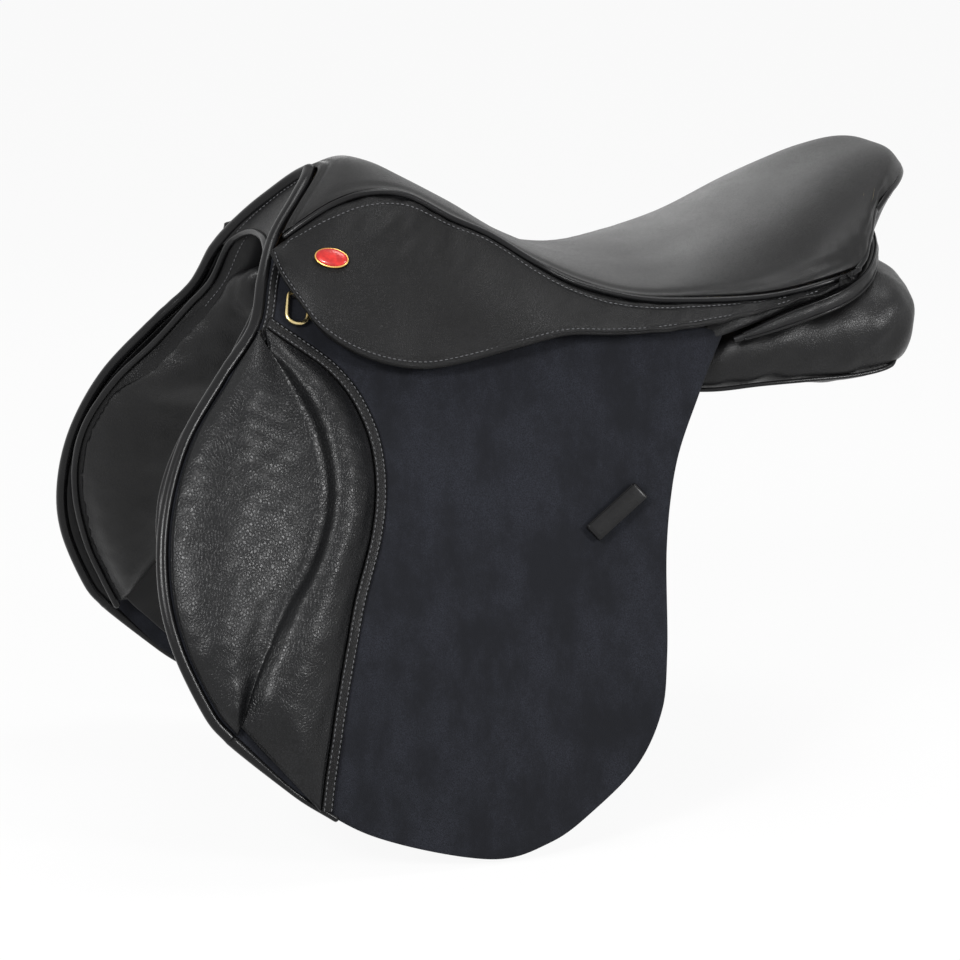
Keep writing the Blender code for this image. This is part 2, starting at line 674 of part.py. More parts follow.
def build_flap(name, side, looks, joint):
    for part, lift, keep in (("flap_top_", clearance, -1), ("flap_", -clearance, 1)):
        point, normal = hinge_plane(fold_hinge(), lift)
        bm = split_off(leather(flap_outline(), 0.0, flap_leather), point, normal * keep)
        finish_mesh(part + name, bm, looks["suede"], side, joint if keep > 0 else None)

    build_knee_pad(name, side, looks, joint)
    point, normal = hinge_plane(fold_hinge(), -1 * mm)
    base = flap_leather + 4.0 * clearance
    near_edge = inset([tuple(rear) for _, _, rear in pad_rows()], 2.0 * clearance)
    far_edge = inset(near_edge, knee_strip_width)
    lower = [[side_point(*first, base), side_point(*second, base)] for first, second in zip(near_edge, far_edge)]
    top = base + knee_strip_leather
    upper = [[side_point(*first, top), side_point(*second, top)] for first, second in zip(near_edge, far_edge)]
    bm = split_off(sheet(upper, lower), point, normal)
    finish_mesh("knee_strip_" + name, bm, looks["grain"], side, joint)

    corners = [side_point(*flap_place(share), flap_leather + clearance) for share in keeper_corners]
    long_way, short_way = corners[3] - corners[0], corners[1] - corners[0]
    outwards = long_way.cross(short_way).normalized()
    if outwards.y < 0:
        outwards = -outwards
    foot = keeper_leather / long_way.length
    rise = keeper_hollow + keeper_leather
    profile = [(0, 0), (0, rise), (1, rise), (1, 0), (1 - foot, 0), (1 - foot, keeper_hollow), (foot, keeper_hollow),
               (foot, 0)]
    rings = [[corners[0] + short_way * w + long_way * a + outwards * (h + 0.2 * mm) for a, h in profile]
             for w in (0, 1)]
    finish_mesh("keeper_" + name, loft(rings), looks["smooth"], side, joint, smooth=False)


def build_sweat_flap(name, side, looks):
    outline = [tuple(p)[:2] for p in spline([(*flap_place(s), 0.0) for s in sweat_flap_outline], 36)]
    bm = leather(outline, -strap_space - sweat_flap_leather, -strap_space, 38 * mm)
    finish_mesh("sweat_flap_" + name, bm, looks["smooth"], side)


def build_lobe(name, side, looks):
    """The form of the panel's lobe under the flap: thin at its seams, padded on the side of the horse."""
    outer = -strap_space - sweat_flap_leather - 5.0 * clearance
    front_line = inset([flap_place(share) for share in panel_front_edge], panel_roll_diameter / 2.0 + 2.0 * clearance)
    lines = [front_line, [flap_place(share) for share in lobe_rear_edge]]
    upper, lower = [], []
    rows, columns = 11, 7
    for i in range(rows + 1):
        front, rear = [along([(x, z, 0.0) for x, z in line], (len(line) - 1) * i / rows).to_2d() for line in lines]
        fade = smooth_step((rows - i) / 3.0) ** 0.5
        top, bottom = [], []
        for j in range(columns + 1):
            x, z = front.lerp(rear, j / columns)
            skin = outer - (arch_thickness + plate_thickness + 9.0 * clearance) * smooth_step((z + 45 * mm) / (30 * mm))
            swell = math.sin(math.pi * j / columns) ** 0.55 * fade
            top.append(side_point(x, z, skin))
            bottom.append(side_point(x, z, skin - lobe_edge - lobe_height * swell))
        upper.append(top)
        lower.append(bottom)
    lobe = finish_mesh("lobe_form_" + name, sheet(upper, lower), looks["grain"], side)
    lobe.hide_render = True
    lobe.display_type = "WIRE"
    return lobe


def build_panel(name, side, looks):
    """A wool-filled panel with its lobe, and the welt along the seam that shows under the cantle."""
    rings = []
    for x, y, z, half_wide, half_high, slope in panel_stations:
        centre = Vector((x, y, z)) * mm
        angle = math.radians(slope)
        down = Vector((0.0, math.cos(angle), -math.sin(angle)))
        up = Vector((0.0, math.sin(angle), math.cos(angle)))
        ring = []
        for i in range(14):
            turn = 2.0 * math.pi * i / 14
            a = math.copysign(abs(math.cos(turn)) ** 0.75, math.cos(turn))
            b = math.copysign(abs(math.sin(turn)) ** 0.75, math.sin(turn))
            ring.append(centre + down * (half_wide * mm * a) + up * (half_high * mm * b))
        rings.append(ring)
    rings = [[along([ring[i] for ring in rings], (len(rings) - 1) * r / 17) for i in range(14)] for r in range(18)]
    panel = finish_mesh("panel_" + name, loft(rings), looks["grain"], side)

    seam = []
    for ring in rings[8:1:-1]:
        middle = sum(ring, Vector()) / len(ring)
        seam.append(ring[-1] + (ring[-1] - middle).normalized() * (panel_welt_diameter / 2.0 + 2.0 * clearance))
    tube("panel_welt_" + name, seam, panel_welt_diameter, looks["smooth"], side)

    union = panel.modifiers.new("lobe", "BOOLEAN")
    union.operation = "UNION"
    union.solver = "EXACT"
    union.object = build_lobe(name, side, looks)


def build_head_facing(looks):
    """The stitched facing of the head, from the roll round its front down to the edge where the panels meet it."""
    rolls = mirrored([Vector(point) * mm for point in head_roll_line])
    edges = mirrored([Vector(point) * mm for point in head_edge_line])
    top, bottom = [], []
    for i in range(17):
        share = i / 8 - 1.0
        edge = along(edges, (len(head_edge_line) - 1) * (1.0 + share))
        place = (len(head_roll_line) - 1) * (1.0 + 0.96 * share)
        roll = along(rolls, place)
        run = (edge - roll).normalized()
        tangent = (along(rolls, place + 0.05) - along(rolls, place - 0.05)).normalized()
        spread = 1.0 / math.sqrt(1.0 - run.dot(tangent) ** 2)
        top.append(roll + run * (front_roll_diameter / 2.0 + 3.0 * clearance) * spread)
        bottom.append(edge - run * (panel_roll_diameter / 2.0 + 3.0 * clearance))
    finish_mesh("head_facing", band(bottom, top, 2, facing_leather), looks["grain"])


def build_panel_roll(looks):
    """The roll that edges both panels at the front, over the head and down to their points."""
    depth = -strap_space - panel_roll_diameter / 2.0
    half = [Vector(point) * mm for point in head_edge_line]
    half += [side_point(*flap_place(share), depth) for share in panel_front_edge]
    whole = mirrored(half)
    tube("panel_roll", [along(whole, (len(whole) - 1) * i / 50) for i in range(51)], panel_roll_diameter,
         looks["smooth"])


def arch_line():
    """Middle of the tree's arch on the off side, from the top of the head down to its point."""
    line = [Vector(point) * mm for point in arch_top_line]
    depth = -(strap_space + sweat_flap_leather + arch_thickness / 2.0 + 3.0 * clearance)
    for x, z in arch_side_line:
        line.append(side_point(x * mm, z * mm, depth))
    return line


def arch_strip(reach, width, thickness, lift):
    """A strip bent along the arch, on both sides, down to a share of its length; lift moves it off the middle."""
    half = arch_line()
    whole = mirrored(half)
    rings = []
    middle = len(half) - 1
    for i in range(19):
        place = middle * (1.0 + reach * (i / 9 - 1.0))
        centre = along(whole, place)
        run = (along(whole, place + 0.05) - along(whole, place - 0.05)).normalized()
        wide = (Vector((1, 0, 0)) - run * run.x).normalized()
        out = run.cross(wide)
        if out.dot(centre - Vector((centre.x, 0.0, -0.02))) < 0:
            out = -out
        rings.append(box_section(centre + out * lift, wide, out, width, thickness))
    return loft(rings)


def build_tree(looks):
    """The laminated frame under the seat, the arch with its points and the steel plate under the arch."""
    finish_mesh("tree_arch", arch_strip(1.0, arch_width, arch_thickness, 0.0), looks["wood"], smooth=False)
    away = (arch_thickness + plate_thickness) / 2.0 + 6.0 * clearance
    plate = arch_strip(0.80, arch_width * 0.8, plate_thickness, -away)
    finish_mesh("gullet_plate", plate, looks["steel"], smooth=False)

    under = seat_leather + foam_thickness + 2.0 * web_thickness + 14.0 * clearance
    route = [Vector(row) for row in rail_route]
    route += [Vector((place, -v, extra)) for place, v, extra in reversed(rail_route[1:-1])]
    count = 40
    centres, normals = [], []
    for i in range(count):
        place = len(route) * i / count
        around = [route[k % len(route)] for k in range(int(place) - 1, int(place) + 4)]
        row, v, extra = along(around, 1.0 + place - int(place))
        depth = under + rail_thickness / 2.0 + extra * mm
        centres.append(seat_point(row, v, depth))
        normals.append((seat_point(row, v, 0.0) - centres[-1]).normalized())
    rings = []
    for i in range(count):
        run = (centres[(i + 1) % count] - centres[i - 1]).normalized()
        wide = run.cross(normals[i]).normalized()
        width = rail_width * (0.45 + 0.55 * smooth_step((centres[i].x + 0.180) / 0.05))
        rings.append(box_section(centres[i], wide, wide.cross(run), width, rail_thickness))
    finish_mesh("tree_frame", loft(rings, closed=True), looks["wood"], smooth=False)


def bar_frame():
    """Where the stirrup bar stands on the tree's side: a point on its plate, then its own three directions."""
    x, z = bar_place[0] * mm, bar_place[1] * mm
    foot = side_point(x, z, bar_plate_depth)
    out = (side_point(x, z, 10 * mm) - side_point(x, z, 0.0)).normalized()
    back = (side_point(x + 10 * mm, z, 0.0) - side_point(x - 10 * mm, z, 0.0))
    back = (back - out * back.dot(out)).normalized()
    return foot, back, out, out.cross(back) * (1 if out.cross(back).z > 0 else -1)


def cover_ring(bm, corners, circle, middle, right, up):
    """Faces on a flat end, between the corners round it and the circle of a hole in it."""
    def turn(vert):
        run = vert.co - middle
        return math.atan2(run.dot(up), run.dot(right))

    outer, inner = sorted(corners, key=turn), sorted(circle, key=turn)
    i = j = 0
    while i < len(outer) or j < len(inner):
        corner, point = outer[i % len(outer)], inner[j % len(inner)]
        next_corner, next_point = outer[(i + 1) % len(outer)], inner[(j + 1) % len(inner)]
        corner_turn = turn(next_corner) + 2.0 * math.pi * ((i + 1) // len(outer))
        point_turn = turn(next_point) + 2.0 * math.pi * ((j + 1) // len(inner))
        if j == len(inner) or (i < len(outer) and corner_turn < point_turn):
            bm.faces.new((corner, next_corner, point))
            i += 1
        else:
            bm.faces.new((corner, next_point, point))
            j += 1


def add_bore(bm, ends, centre, axis, right, up, count=12):
    """The pin's bore between two flat ends of a body, each given as its depth and its corners."""
    circles = []
    for depth, corners in ends:
        middle = centre + axis * depth
        circle = [bm.verts.new(middle + (right * math.cos(2 * math.pi * k / count)
                                         + up * math.sin(2 * math.pi * k / count)) * (pin_diameter / 2.0 + clearance))
                  for k in range(count)]
        cover_ring(bm, corners, circle, middle, right, up)
        circles.append(circle)
    first, second = circles
    for k in range(count):
        bm.faces.new((first[k - 1], first[k], second[k], second[k - 1]))


def bar_on_plate(profile, pin):
    """The plate on the tree's side, with the bar's profile, which starts and ends at its root, rising out of it."""
    foot, back, out, up = bar_frame()
    bm = bmesh.new()
    outline = [(a * mm, b * mm) for a, b in bar_plate_outline]
    face = [bm.verts.new(foot + back * a + up * b) for a, b in outline]
    rear = [bm.verts.new(foot + back * a + up * b - out * (1.5 * plate_thickness)) for a, b in outline]
    low, high = [[bm.verts.new(foot + back * a + out * d + up * (bar_height / 2.0 * turn)) for a, d in profile]
                 for turn in (-1, 1)]
    bm.faces.new(rear)
    for i, vert in enumerate(face):
        bm.faces.new((face[i - 1], vert, rear[i], rear[i - 1]))
    bm.faces.new(low)
    bm.faces.new(high)
    ends = []
    for i in range(1, len(profile)):
        j = (i + 1) % len(profile)
        corners = (low[i], low[j], high[j], high[i])
        if i in (3, 5):
            ends.append((profile[i][1], corners))
        else:
            bm.faces.new(corners)
    add_bore(bm, ends, foot + back * pin, out, back, up)
    bm.faces.new((face[0], face[1], low[1], low[0]))
    bm.faces.new(face[1:6] + [high[1], low[1]])
    bm.faces.new((face[5], face[6], high[0], high[1]))
    bm.faces.new((face[6], face[0], low[0], high[0]))
    return bm


def build_stirrup_bar(name, side, looks, joint):
    foot, back, out, up = bar_frame()
    half = bar_length / 2.0
    near, far = bar_opening, bar_opening + bar_thickness
    lap = far - bar_thickness / 2.0 - clearance / 2.0
    pin = half - bar_height / 2.0
    lug = bar_height * 1.1
    shoulder = pin - bar_height / 2.0 - clearance
    profile = [(-half, 0.0), (-half + lug, 0.0), (-half + lug, near), (pin - bar_height / 2.0, near), (half, near),
               (half, lap), (shoulder, lap), (shoulder, far), (-half + bar_thickness, far),
               (-half, far - bar_thickness)]
    finish_mesh("stirrup_bar_" + name, bar_on_plate(profile, pin), looks["steel"], side, smooth=False)

    rounded = [(pin + bar_height / 2.0 * math.cos(a), bar_height / 2.0 * math.sin(a))
               for a in [math.pi * (0.5 + k / 8) for k in range(9)]]
    profile = rounded + [(pin + catch_length, -bar_height * 0.32), (pin + catch_length, bar_height * 0.42)]
    bm = bmesh.new()
    low, high = [[bm.verts.new(foot + back * a + up * b + out * d) for a, b in profile]
                 for d in (lap + clearance, far)]
    for i in range(len(profile)):
        bm.faces.new((low[i - 1], low[i], high[i], high[i - 1]))
    add_bore(bm, [(lap + clearance, low), (far, high)], foot + back * pin, out, back, up)
    finish_mesh("bar_catch_" + name, bm, looks["steel"], side, joint, smooth=False)

    round_bar("catch_pin_" + name, foot + back * pin, out, pin_diameter / 2.0, near + clearance, far - clearance, side,
              looks["steel"])


def catch_axis():
    foot, back, out, up = bar_frame()
    return foot + back * (bar_length / 2.0 - bar_height / 2.0), out


def round_bar(name, centre, axis, radius, low, high, side, material, joint=None, count=12):
    """A short round bar, a pin or a bore, along an axis."""
    first = axis.orthogonal().normalized()
    second = axis.cross(first)
    rings = []
    for d in (low, high):
        rings.append([centre + axis * d + (first * math.cos(2 * math.pi * k / count)
                                           + second * math.sin(2 * math.pi * k / count)) * radius
                      for k in range(count)])
    return finish_mesh(name, loft(rings), material, side, joint, smooth=False)


def strap_axis():
    """Where a side's three straps hang together, and the direction that they swing about."""
    height = strap_top_z - 0.25 * strap_length
    outwards = side_point(strap_middle_x, height, 10 * mm) - side_point(strap_middle_x, height, 0.0)
    return side_point(strap_middle_x, strap_top_z, 0.0), outwards.normalized()


def strap_frame(x):
    """Rows of a girth strap: centre points from its top to its foot, with the direction across it."""
    drops = (0.0, 0.14, 0.30, 0.46, 0.65, 1.0)
    rows = []
    for drop in drops:
        z = strap_top_z - drop * strap_length
        slope_z = strap_top_z - min(drop, 0.8) * strap_length if drop < 0.6 else strap_top_z - 0.8 * strap_length
        across = side_point(x + 10 * mm, slope_z, 0.0) - side_point(x - 10 * mm, slope_z, 0.0)
        rows.append((side_point(x, z, -strap_space / 2.0), across.normalized()))
    return rows


def build_straps(name, side, looks, joint):
    """Three girth straps a side with their holes, the web they hang from and the buckle guard over them."""
    for order, strap in enumerate(("front", "middle", "rear")):
        rows = strap_frame(strap_middle_x + (order - 1) * strap_pitch)
        centres = [centre for centre, _ in rows]
        rings = []
        for i, (centre, across) in enumerate(rows):
            run = centres[min(i + 1, len(centres) - 1)] - centres[max(i - 1, 0)]
            if i >= len(rows) - 2:
                run = centres[-1] - centres[-2]
            out = run.cross(across).normalized()
            if out.y < 0:
                out = -out
            rings.append(box_section(centre, across, out, strap_width, strap_leather))
        tip = centres[-1] + (centres[-1] - centres[-2]).normalized() * (strap_width * 0.4)
        rings.append(box_section(tip, across, out, strap_width * 0.45, strap_leather))
        piece = finish_mesh("girth_strap_%s_%s" % (strap, name), loft(rings), looks["strap"], side, joint,
                            smooth=False)
        run = (centres[-1] - centres[-2]).normalized()
        for hole in range(strap_holes):
            centre = centres[-1] - run * (strap_hole_pitch * (hole + 0.5))
            bore = round_bar("hole_%d_%s" % (hole, piece.name), centre, out, strap_hole_diameter / 2.0,
                             -strap_leather, strap_leather, side, looks["strap"], joint, count=6)
            cut_away(piece, bore)

    half = strap_pitch + strap_width / 2.0 + 3 * mm
    left, right = strap_middle_x - half, strap_middle_x + half
    top = strap_top_z - 12 * mm
    outline = [(left, top), (right, top), (right, top - guard_height * 0.7), (right - 0.2 * half, top - guard_height),
               (left + 0.2 * half, top - guard_height), (left, top - guard_height * 0.7)]
    depth = (strap_leather - strap_space) / 2.0 + 4.0 * clearance
    guard = leather(outline, depth, depth + guard_leather)
    finish_mesh("buckle_guard_" + name, guard, looks["strap"], side, joint)

    foot = strap_top_z - girth_web_lap
    outline = [(left + 3 * mm, foot), (right - 3 * mm, foot), (right - 3 * mm, 26 * mm), (right - 20 * mm, 36 * mm),
               (-120 * mm, 54 * mm), (left + 3 * mm, 64 * mm)]
    depth = -(strap_space + strap_leather) / 2.0 - 2.0 * clearance
    web = leather(outline, depth - girth_web_thickness, depth)
    finish_mesh("girth_web_" + name, web, looks["web"], side)


def dee_frame():
    """Where the dee hangs on the flap: middle of its straight bar, then back, out and up."""
    x, z = dee_place[0] * mm, dee_place[1] * mm
    centre = side_point(x, z, flap_leather + clearance + chape_leather + clearance + dee_wire / 2.0)
    out = (side_point(x, z, 10 * mm) - side_point(x, z, 0.0)).normalized()
    back = side_point(x + 10 * mm, z, 0.0) - side_point(x - 10 * mm, z, 0.0)
    back = Matrix.Rotation(math.radians(dee_turn), 3, out) @ (back - out * back.dot(out)).normalized()
    up = out.cross(back)
    return centre, back, out, up if up.z > 0 else -up


def build_dee(name, side, looks, joint):
    """The brass dee, and the folded leather chape that holds its straight bar."""
    centre, back, out, up = dee_frame()
    half = dee_width / 2.0
    bow = dee_height - 0.85 * half
    corner = 0.25 * half
    points = [(-half + corner, 0.0), (0.0, 0.0), (half - corner, 0.0), (half, -corner), (half, -bow * 0.6)]
    points += [(half * math.cos(a), -bow - half * math.sin(a) * 0.85) for a in [math.pi * k / 8 for k in range(9)]]
    points += [(-half, -bow * 0.6), (-half, -corner)]
    curve_points = [centre + back * a + up * b for a, b in points]
    ring = tube("dee_ring_" + name, curve_points, dee_wire, looks["brass"], side, joint)
    ring.data.splines[0].use_cyclic_u = True

    inner, outer = dee_wire / 2.0 + clearance, dee_wire / 2.0 + clearance + chape_leather
    around = [math.pi * (k / 6 - 1.0) for k in range(7)]
    profile = [(outer * math.cos(a), outer * math.sin(a)) for a in around] + [(outer, 7 * mm), (-outer, 7 * mm)]
    rings = [[centre + out * a + up * b + back * d for a, b in profile] for d in (-chape_width / 2, chape_width / 2)]
    chape = finish_mesh("dee_chape_" + name, loft(rings), looks["strap"], side)
    bore = round_bar("chape_bore_" + name, centre, back, inner, -chape_width, chape_width, side, looks["strap"])
    cut_away(chape, bore)


def build_badge(name, side, looks):
    """A plain oval badge, domed and bare, on the skirt."""
    place, t = badge_place
    centre = skirt_surface(place, t, skirt_leather + 0.8 * mm)
    back = skirt_surface(place + 0.4, t) - skirt_surface(place - 0.4, t)
    down = skirt_surface(place, t + 0.1) - skirt_surface(place, t - 0.1)
    out = back.cross(down).normalized()
    if out.y < 0:
        out = -out
    long_way = Vector((1.0, 0.30, -0.12))
    long_way = (long_way - out * long_way.dot(out)).normalized()
    short_way = out.cross(long_way)
    rings = []
    for size, height in ((0.94, 0.0), (1.0, 0.3), (1.0, 0.6), (0.86, 0.95), (0.5, 1.0)):
        rings.append([centre + long_way * (badge_length / 2 * size * math.cos(2 * math.pi * k / 18))
                      + short_way * (badge_height / 2 * size * math.sin(2 * math.pi * k / 18))
                      + out * (badge_thickness * height) for k in range(18)])
    finish_mesh("badge_" + name, loft(rings), looks["enamel"], side)


def build():
    for old in list(bpy.data.objects):
        bpy.data.objects.remove(old, do_unlink=True)
    looks = {
        "grain": make_material("grained leather", (0.012, 0.012, 0.013), 0.42),
        "smooth": make_material("smooth leather", (0.010, 0.010, 0.011), 0.35),
        "suede": make_material("flap leather", (0.010, 0.012, 0.018), 0.85),
        "brass": make_material("brass", (0.72, 0.58, 0.28), 0.28, 1.0),
        "steel": make_material("steel", (0.45, 0.46, 0.48), 0.35, 1.0),
        "foam": make_material("foam", (0.75, 0.70, 0.55), 0.9),
        "wood": make_material("laminated beech", (0.45, 0.28, 0.14), 0.6),
        "web": make_material("woven web", (0.55, 0.50, 0.40), 0.9),
        "strap": make_material("strap leather", (0.013, 0.012, 0.012), 0.5),
        "enamel": make_material("red enamel", (0.45, 0.02, 0.02), 0.25),
    }
    build_seat(looks)
    build_welts(looks)
    build_cantle(looks)
    flap_joints = {}
    for name, side in sides.items():
        fold, bend = bend_axis(fold_hinge(), flap_axis_lifts)[0], bend_axis(skirt_hinge(), skirt_axis_lifts)[0]
        hang = strap_axis()[0]
        straps = add_joint("strap_joint_" + name, (hang.x, hang.y * side, hang.z))
        flap_joints[name] = add_joint("flap_joint_" + name, (fold.x, fold.y * side, fold.z))
        skirt = add_joint("skirt_joint_" + name, (bend.x, bend.y * side, bend.z))
        build_skirt(name, side, looks, skirt)
        build_flap(name, side, looks, flap_joints[name])
        build_sweat_flap(name, side, looks)
        build_panel(name, side, looks)
        build_straps(name, side, looks, straps)
        pivot = catch_axis()[0]
        catch = add_joint("catch_joint_" + name, (pivot.x, pivot.y * side, pivot.z))
        build_stirrup_bar(name, side, looks, catch)
        pivot = dee_frame()[0]
        dee = add_joint("dee_joint_" + name, (pivot.x, pivot.y * side, pivot.z))
        build_dee(name, side, looks, dee)
        build_badge(name, side, looks)
    build_front_roll(looks, flap_joints)
    build_head_facing(looks)
    build_panel_roll(looks)
    build_tree(looks)


build()
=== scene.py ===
import math

import bmesh
import bpy
import numpy as np
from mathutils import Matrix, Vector


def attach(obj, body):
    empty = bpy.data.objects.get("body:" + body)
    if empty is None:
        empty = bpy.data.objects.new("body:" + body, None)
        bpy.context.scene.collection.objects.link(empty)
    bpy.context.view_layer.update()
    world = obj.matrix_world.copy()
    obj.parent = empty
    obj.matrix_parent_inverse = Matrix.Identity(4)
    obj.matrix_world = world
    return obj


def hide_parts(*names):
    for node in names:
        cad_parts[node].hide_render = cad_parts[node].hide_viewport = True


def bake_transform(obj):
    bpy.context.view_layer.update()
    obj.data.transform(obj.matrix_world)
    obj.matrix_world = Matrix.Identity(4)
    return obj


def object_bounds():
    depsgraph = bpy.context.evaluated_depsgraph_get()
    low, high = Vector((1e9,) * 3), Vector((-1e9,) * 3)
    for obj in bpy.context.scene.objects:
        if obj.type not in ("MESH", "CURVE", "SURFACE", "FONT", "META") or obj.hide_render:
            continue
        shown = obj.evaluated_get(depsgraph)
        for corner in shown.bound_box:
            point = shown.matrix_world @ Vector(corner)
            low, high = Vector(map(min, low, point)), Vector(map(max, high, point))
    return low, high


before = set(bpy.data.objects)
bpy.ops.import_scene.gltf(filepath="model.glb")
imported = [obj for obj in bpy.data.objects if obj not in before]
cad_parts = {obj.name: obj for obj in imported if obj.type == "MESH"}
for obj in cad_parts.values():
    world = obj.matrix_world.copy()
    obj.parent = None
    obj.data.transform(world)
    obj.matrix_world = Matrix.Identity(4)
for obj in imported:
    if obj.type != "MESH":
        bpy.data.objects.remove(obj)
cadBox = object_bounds()
mm = 0.001
sides = {"near": -1, "off": 1}
print("frame loaded:", len(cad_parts), "nodes")

# lines and surfaces shared by the pieces: first, half widths in mm against height in mm, along the flap's front
# edge and towards its rear
frontWidths = [(-330, 188), (-221, 177), (-161, 163), (-120, 147), (-82, 131), (-41, 112), (-5, 94), (23, 79),
               (52, 61), (76, 42), (112, 14)]
rearWidths = [(-330, 178), (-221, 167), (-161, 158), (-90, 146), (-41, 136), (10, 124), (35, 116), (60, 100),
              (76, 84), (112, 60)]
# points down the seat in mm: its edge, and the centre line
seatEdge = [(-241, 44, 74), (-222, 48, 88), (-201, 50, 100), (-178, 51, 106), (-153, 52, 103), (-123, 56, 87),
            (-99, 62, 75), (-70, 74, 57), (-46, 90, 45), (-12, 108, 37), (23, 120, 36), (70, 130, 38),
            (109, 133, 45), (138, 125, 52), (152, 108, 67), (163, 90, 81), (167, 85, 82)]
seatMiddle = [(-203, 0, 112), (-190, 0, 118), (-178, 0, 120), (-160, 0, 115), (-143, 0, 106), (-114, 0, 90),
              (-90, 0, 75), (-62, 0, 60), (-36, 0, 50), (-2, 0, 44), (33, 0, 47), (80, 0, 64),
              (122, 0, 87), (152, 0, 102), (176, 0, 111), (197, 0, 114), (209, 0, 103)]
widthBlend = (-0.230, 0.260)  # where the rear widths begin to take over, and over what length
seatStart = 0.31
lastSeat = len(seatEdge) - 1
# rolls round the head and the cantle in mm, from the middle outwards or towards the middle
headRollLine = [(-204, 0, 112), (-210, 11, 106), (-221, 23, 95), (-240, 41, 75), (-253, 62, 53)]
headEdgeLine = [(-239, 0, 71), (-240, 17, 70), (-243, 34, 65), (-248, 47, 56)]
cantleRollLine = [(47, 130, 7), (62, 132, 12), (84, 132, 19), (118, 131, 29.5), (142, 119, 39.5), (158, 97, 52),
                  (170, 60, 60), (175, 25, 61), (176, 0, 61)]
skirtEdge = [(0.3, (-247, 57, 69)), (0.5, (-244, 72, 55)), (0.9, (-234, 87, 37)), (1.5, (-224, 96, 22)),
             (2.3, (-207, 104, 9.5)), (3.2, (-185, 112, 1)), (4.0, (-160, 115, -3)), (4.9, (-135, 119, 0.5)),
             (6.0, (-98, 124, 9.5)), (7.0, (-67, 128, 16.5)), (8.2, (-39, 132, 16)), (9.1, (-11, 135, 16)),
             (10.0, (17, 138, 19)), (11.0, (55, 138, 24.5)), (11.7, (83, 139, 32)), (12.2, (106, 137.5, 38)),
             (12.8, (127, 134.5, 45.5))]
# shares of the flap's length and depth
flapFrame = {"topX": 0.038, "topZ": 0.003, "length": 0.381, "depth": 0.316, "leather": 0.003}
flapFront = [(0.747, -0.200), (0.764, -0.158), (0.793, -0.066), (0.861, 0.025), (0.937, 0.139),
             (0.984, 0.269), (1.0, 0.400), (0.987, 0.519), (0.942, 0.649), (0.908, 0.703)]
flapLower = [(0.908, 0.703), (0.806, 0.820), (0.669, 0.927), (0.467, 1.0), (0.354, 0.981), (0.273, 0.927),
             (0.189, 0.842), (0.142, 0.737), (0.127, 0.617), (0.118, 0.400), (0.092, 0.231), (0.042, 0.092),
             (-0.008, -0.024)]
flapUpper = [(0.0, 0.0), (0.030, -0.040), (0.110, -0.040), (0.260, -0.045), (0.425, -0.045), (0.620, -0.052),
             (0.640, -0.150), (0.700, -0.190), (0.747, -0.200)]
padRear = [(0.777, -0.060), (0.672, 0.038), (0.630, 0.130), (0.622, 0.225), (0.640, 0.332), (0.688, 0.475),
           (0.727, 0.642), (0.751, 0.775), (0.763, 0.862)]
padCrease = [(0.777, -0.022), (0.743, 0.054), (0.714, 0.149), (0.711, 0.263), (0.745, 0.373), (0.801, 0.468),
             (0.856, 0.576), (0.893, 0.680)]
flapFold = [(0.803, -0.047), (0.021, 0.098)]
skirtFold = [(-238, 76, 49), (-60, 129, 20.75)]
panelFront = [(0.774, -0.113), (0.810, -0.051), (0.862, 0.033), (0.927, 0.117), (0.972, 0.213), (0.988, 0.307),
              (0.982, 0.411), (0.956, 0.528), (0.925, 0.614), (0.896, 0.686)]
lobeRear = [(0.560, -0.060), (0.470, 0.020), (0.460, 0.120), (0.540, 0.206), (0.638, 0.301), (0.730, 0.415),
            (0.803, 0.532), (0.850, 0.606), (0.888, 0.670)]
frontRollRadius = 0.0038
panelRollRadius = 0.0025
strapSpace = 0.0115
weltRadius = 0.0021
seatLeather = 0.002
skirtLeather = 0.0025
skirtBulge = 0.009
skirtTop = (0, -0.001, -0.00295)  # from the welt's middle to the skirt's upper edge
skirtOut = (-0.1, 0.9, 0.42)  # the way that an off skirt faces


def smoothStep(t):
    t = np.clip(t, 0.0, 1.0)
    return t * t * (3.0 - 2.0 * t)


def splineAt(points, place):
    # the smooth curve through points, at places counted in points
    points = np.asarray(points, float)
    last = len(points) - 1
    place = np.clip(np.asarray(place, float), 0.0, last)
    index = np.minimum(place.astype(int), last - 1)
    t = (place - index)[..., None]
    padded = np.vstack([2 * points[0] - points[1], points, 2 * points[-1] - points[-2]])
    a, b, c, d = (padded[index + k] for k in range(4))
    return 0.5 * (2 * b + (c - a) * t + (2 * a - 5 * b + 4 * c - d) * t ** 2 + (3 * b - a - 3 * c + d) * t ** 3)


def splineRow(points, count):
    return splineAt(points, np.linspace(0, len(points) - 1, count))


def evenly(points, count):
    # points spread by distance round a closed line
    points = np.vstack([points, points[:1]])
    run = np.r_[0, np.cumsum(np.linalg.norm(np.diff(points, axis=0), axis=1))]
    at = np.linspace(0, run[-1], count + 1)[:-1]
    return np.stack([np.interp(at, run, points[:, k]) for k in range(points.shape[1])], axis=1)


def valueAt(pairs, x):
    # the smooth curve of values against x
    pairs = np.asarray(pairs, float)
    x = np.asarray(x, float)
    index = np.clip(np.searchsorted(pairs[:, 0], x, side="left") - 1, 0, len(pairs) - 2)
    span = pairs[index + 1, 0] - pairs[index, 0]
    t = np.clip((x - pairs[index, 0]) / span, 0, 1)
    return splineAt(pairs, index + t)[..., 1]


def unit(v):
    return v / np.maximum(np.linalg.norm(v, axis=-1, keepdims=True), 1e-12)


def halfWidth(x, z):
    # from the middle plane to the inner face of the flap
    share = smoothStep((x - widthBlend[0]) / widthBlend[1])
    front, rear = valueAt(frontWidths, z / mm), valueAt(rearWidths, z / mm)
    return (front + (rear - front) * share) * mm


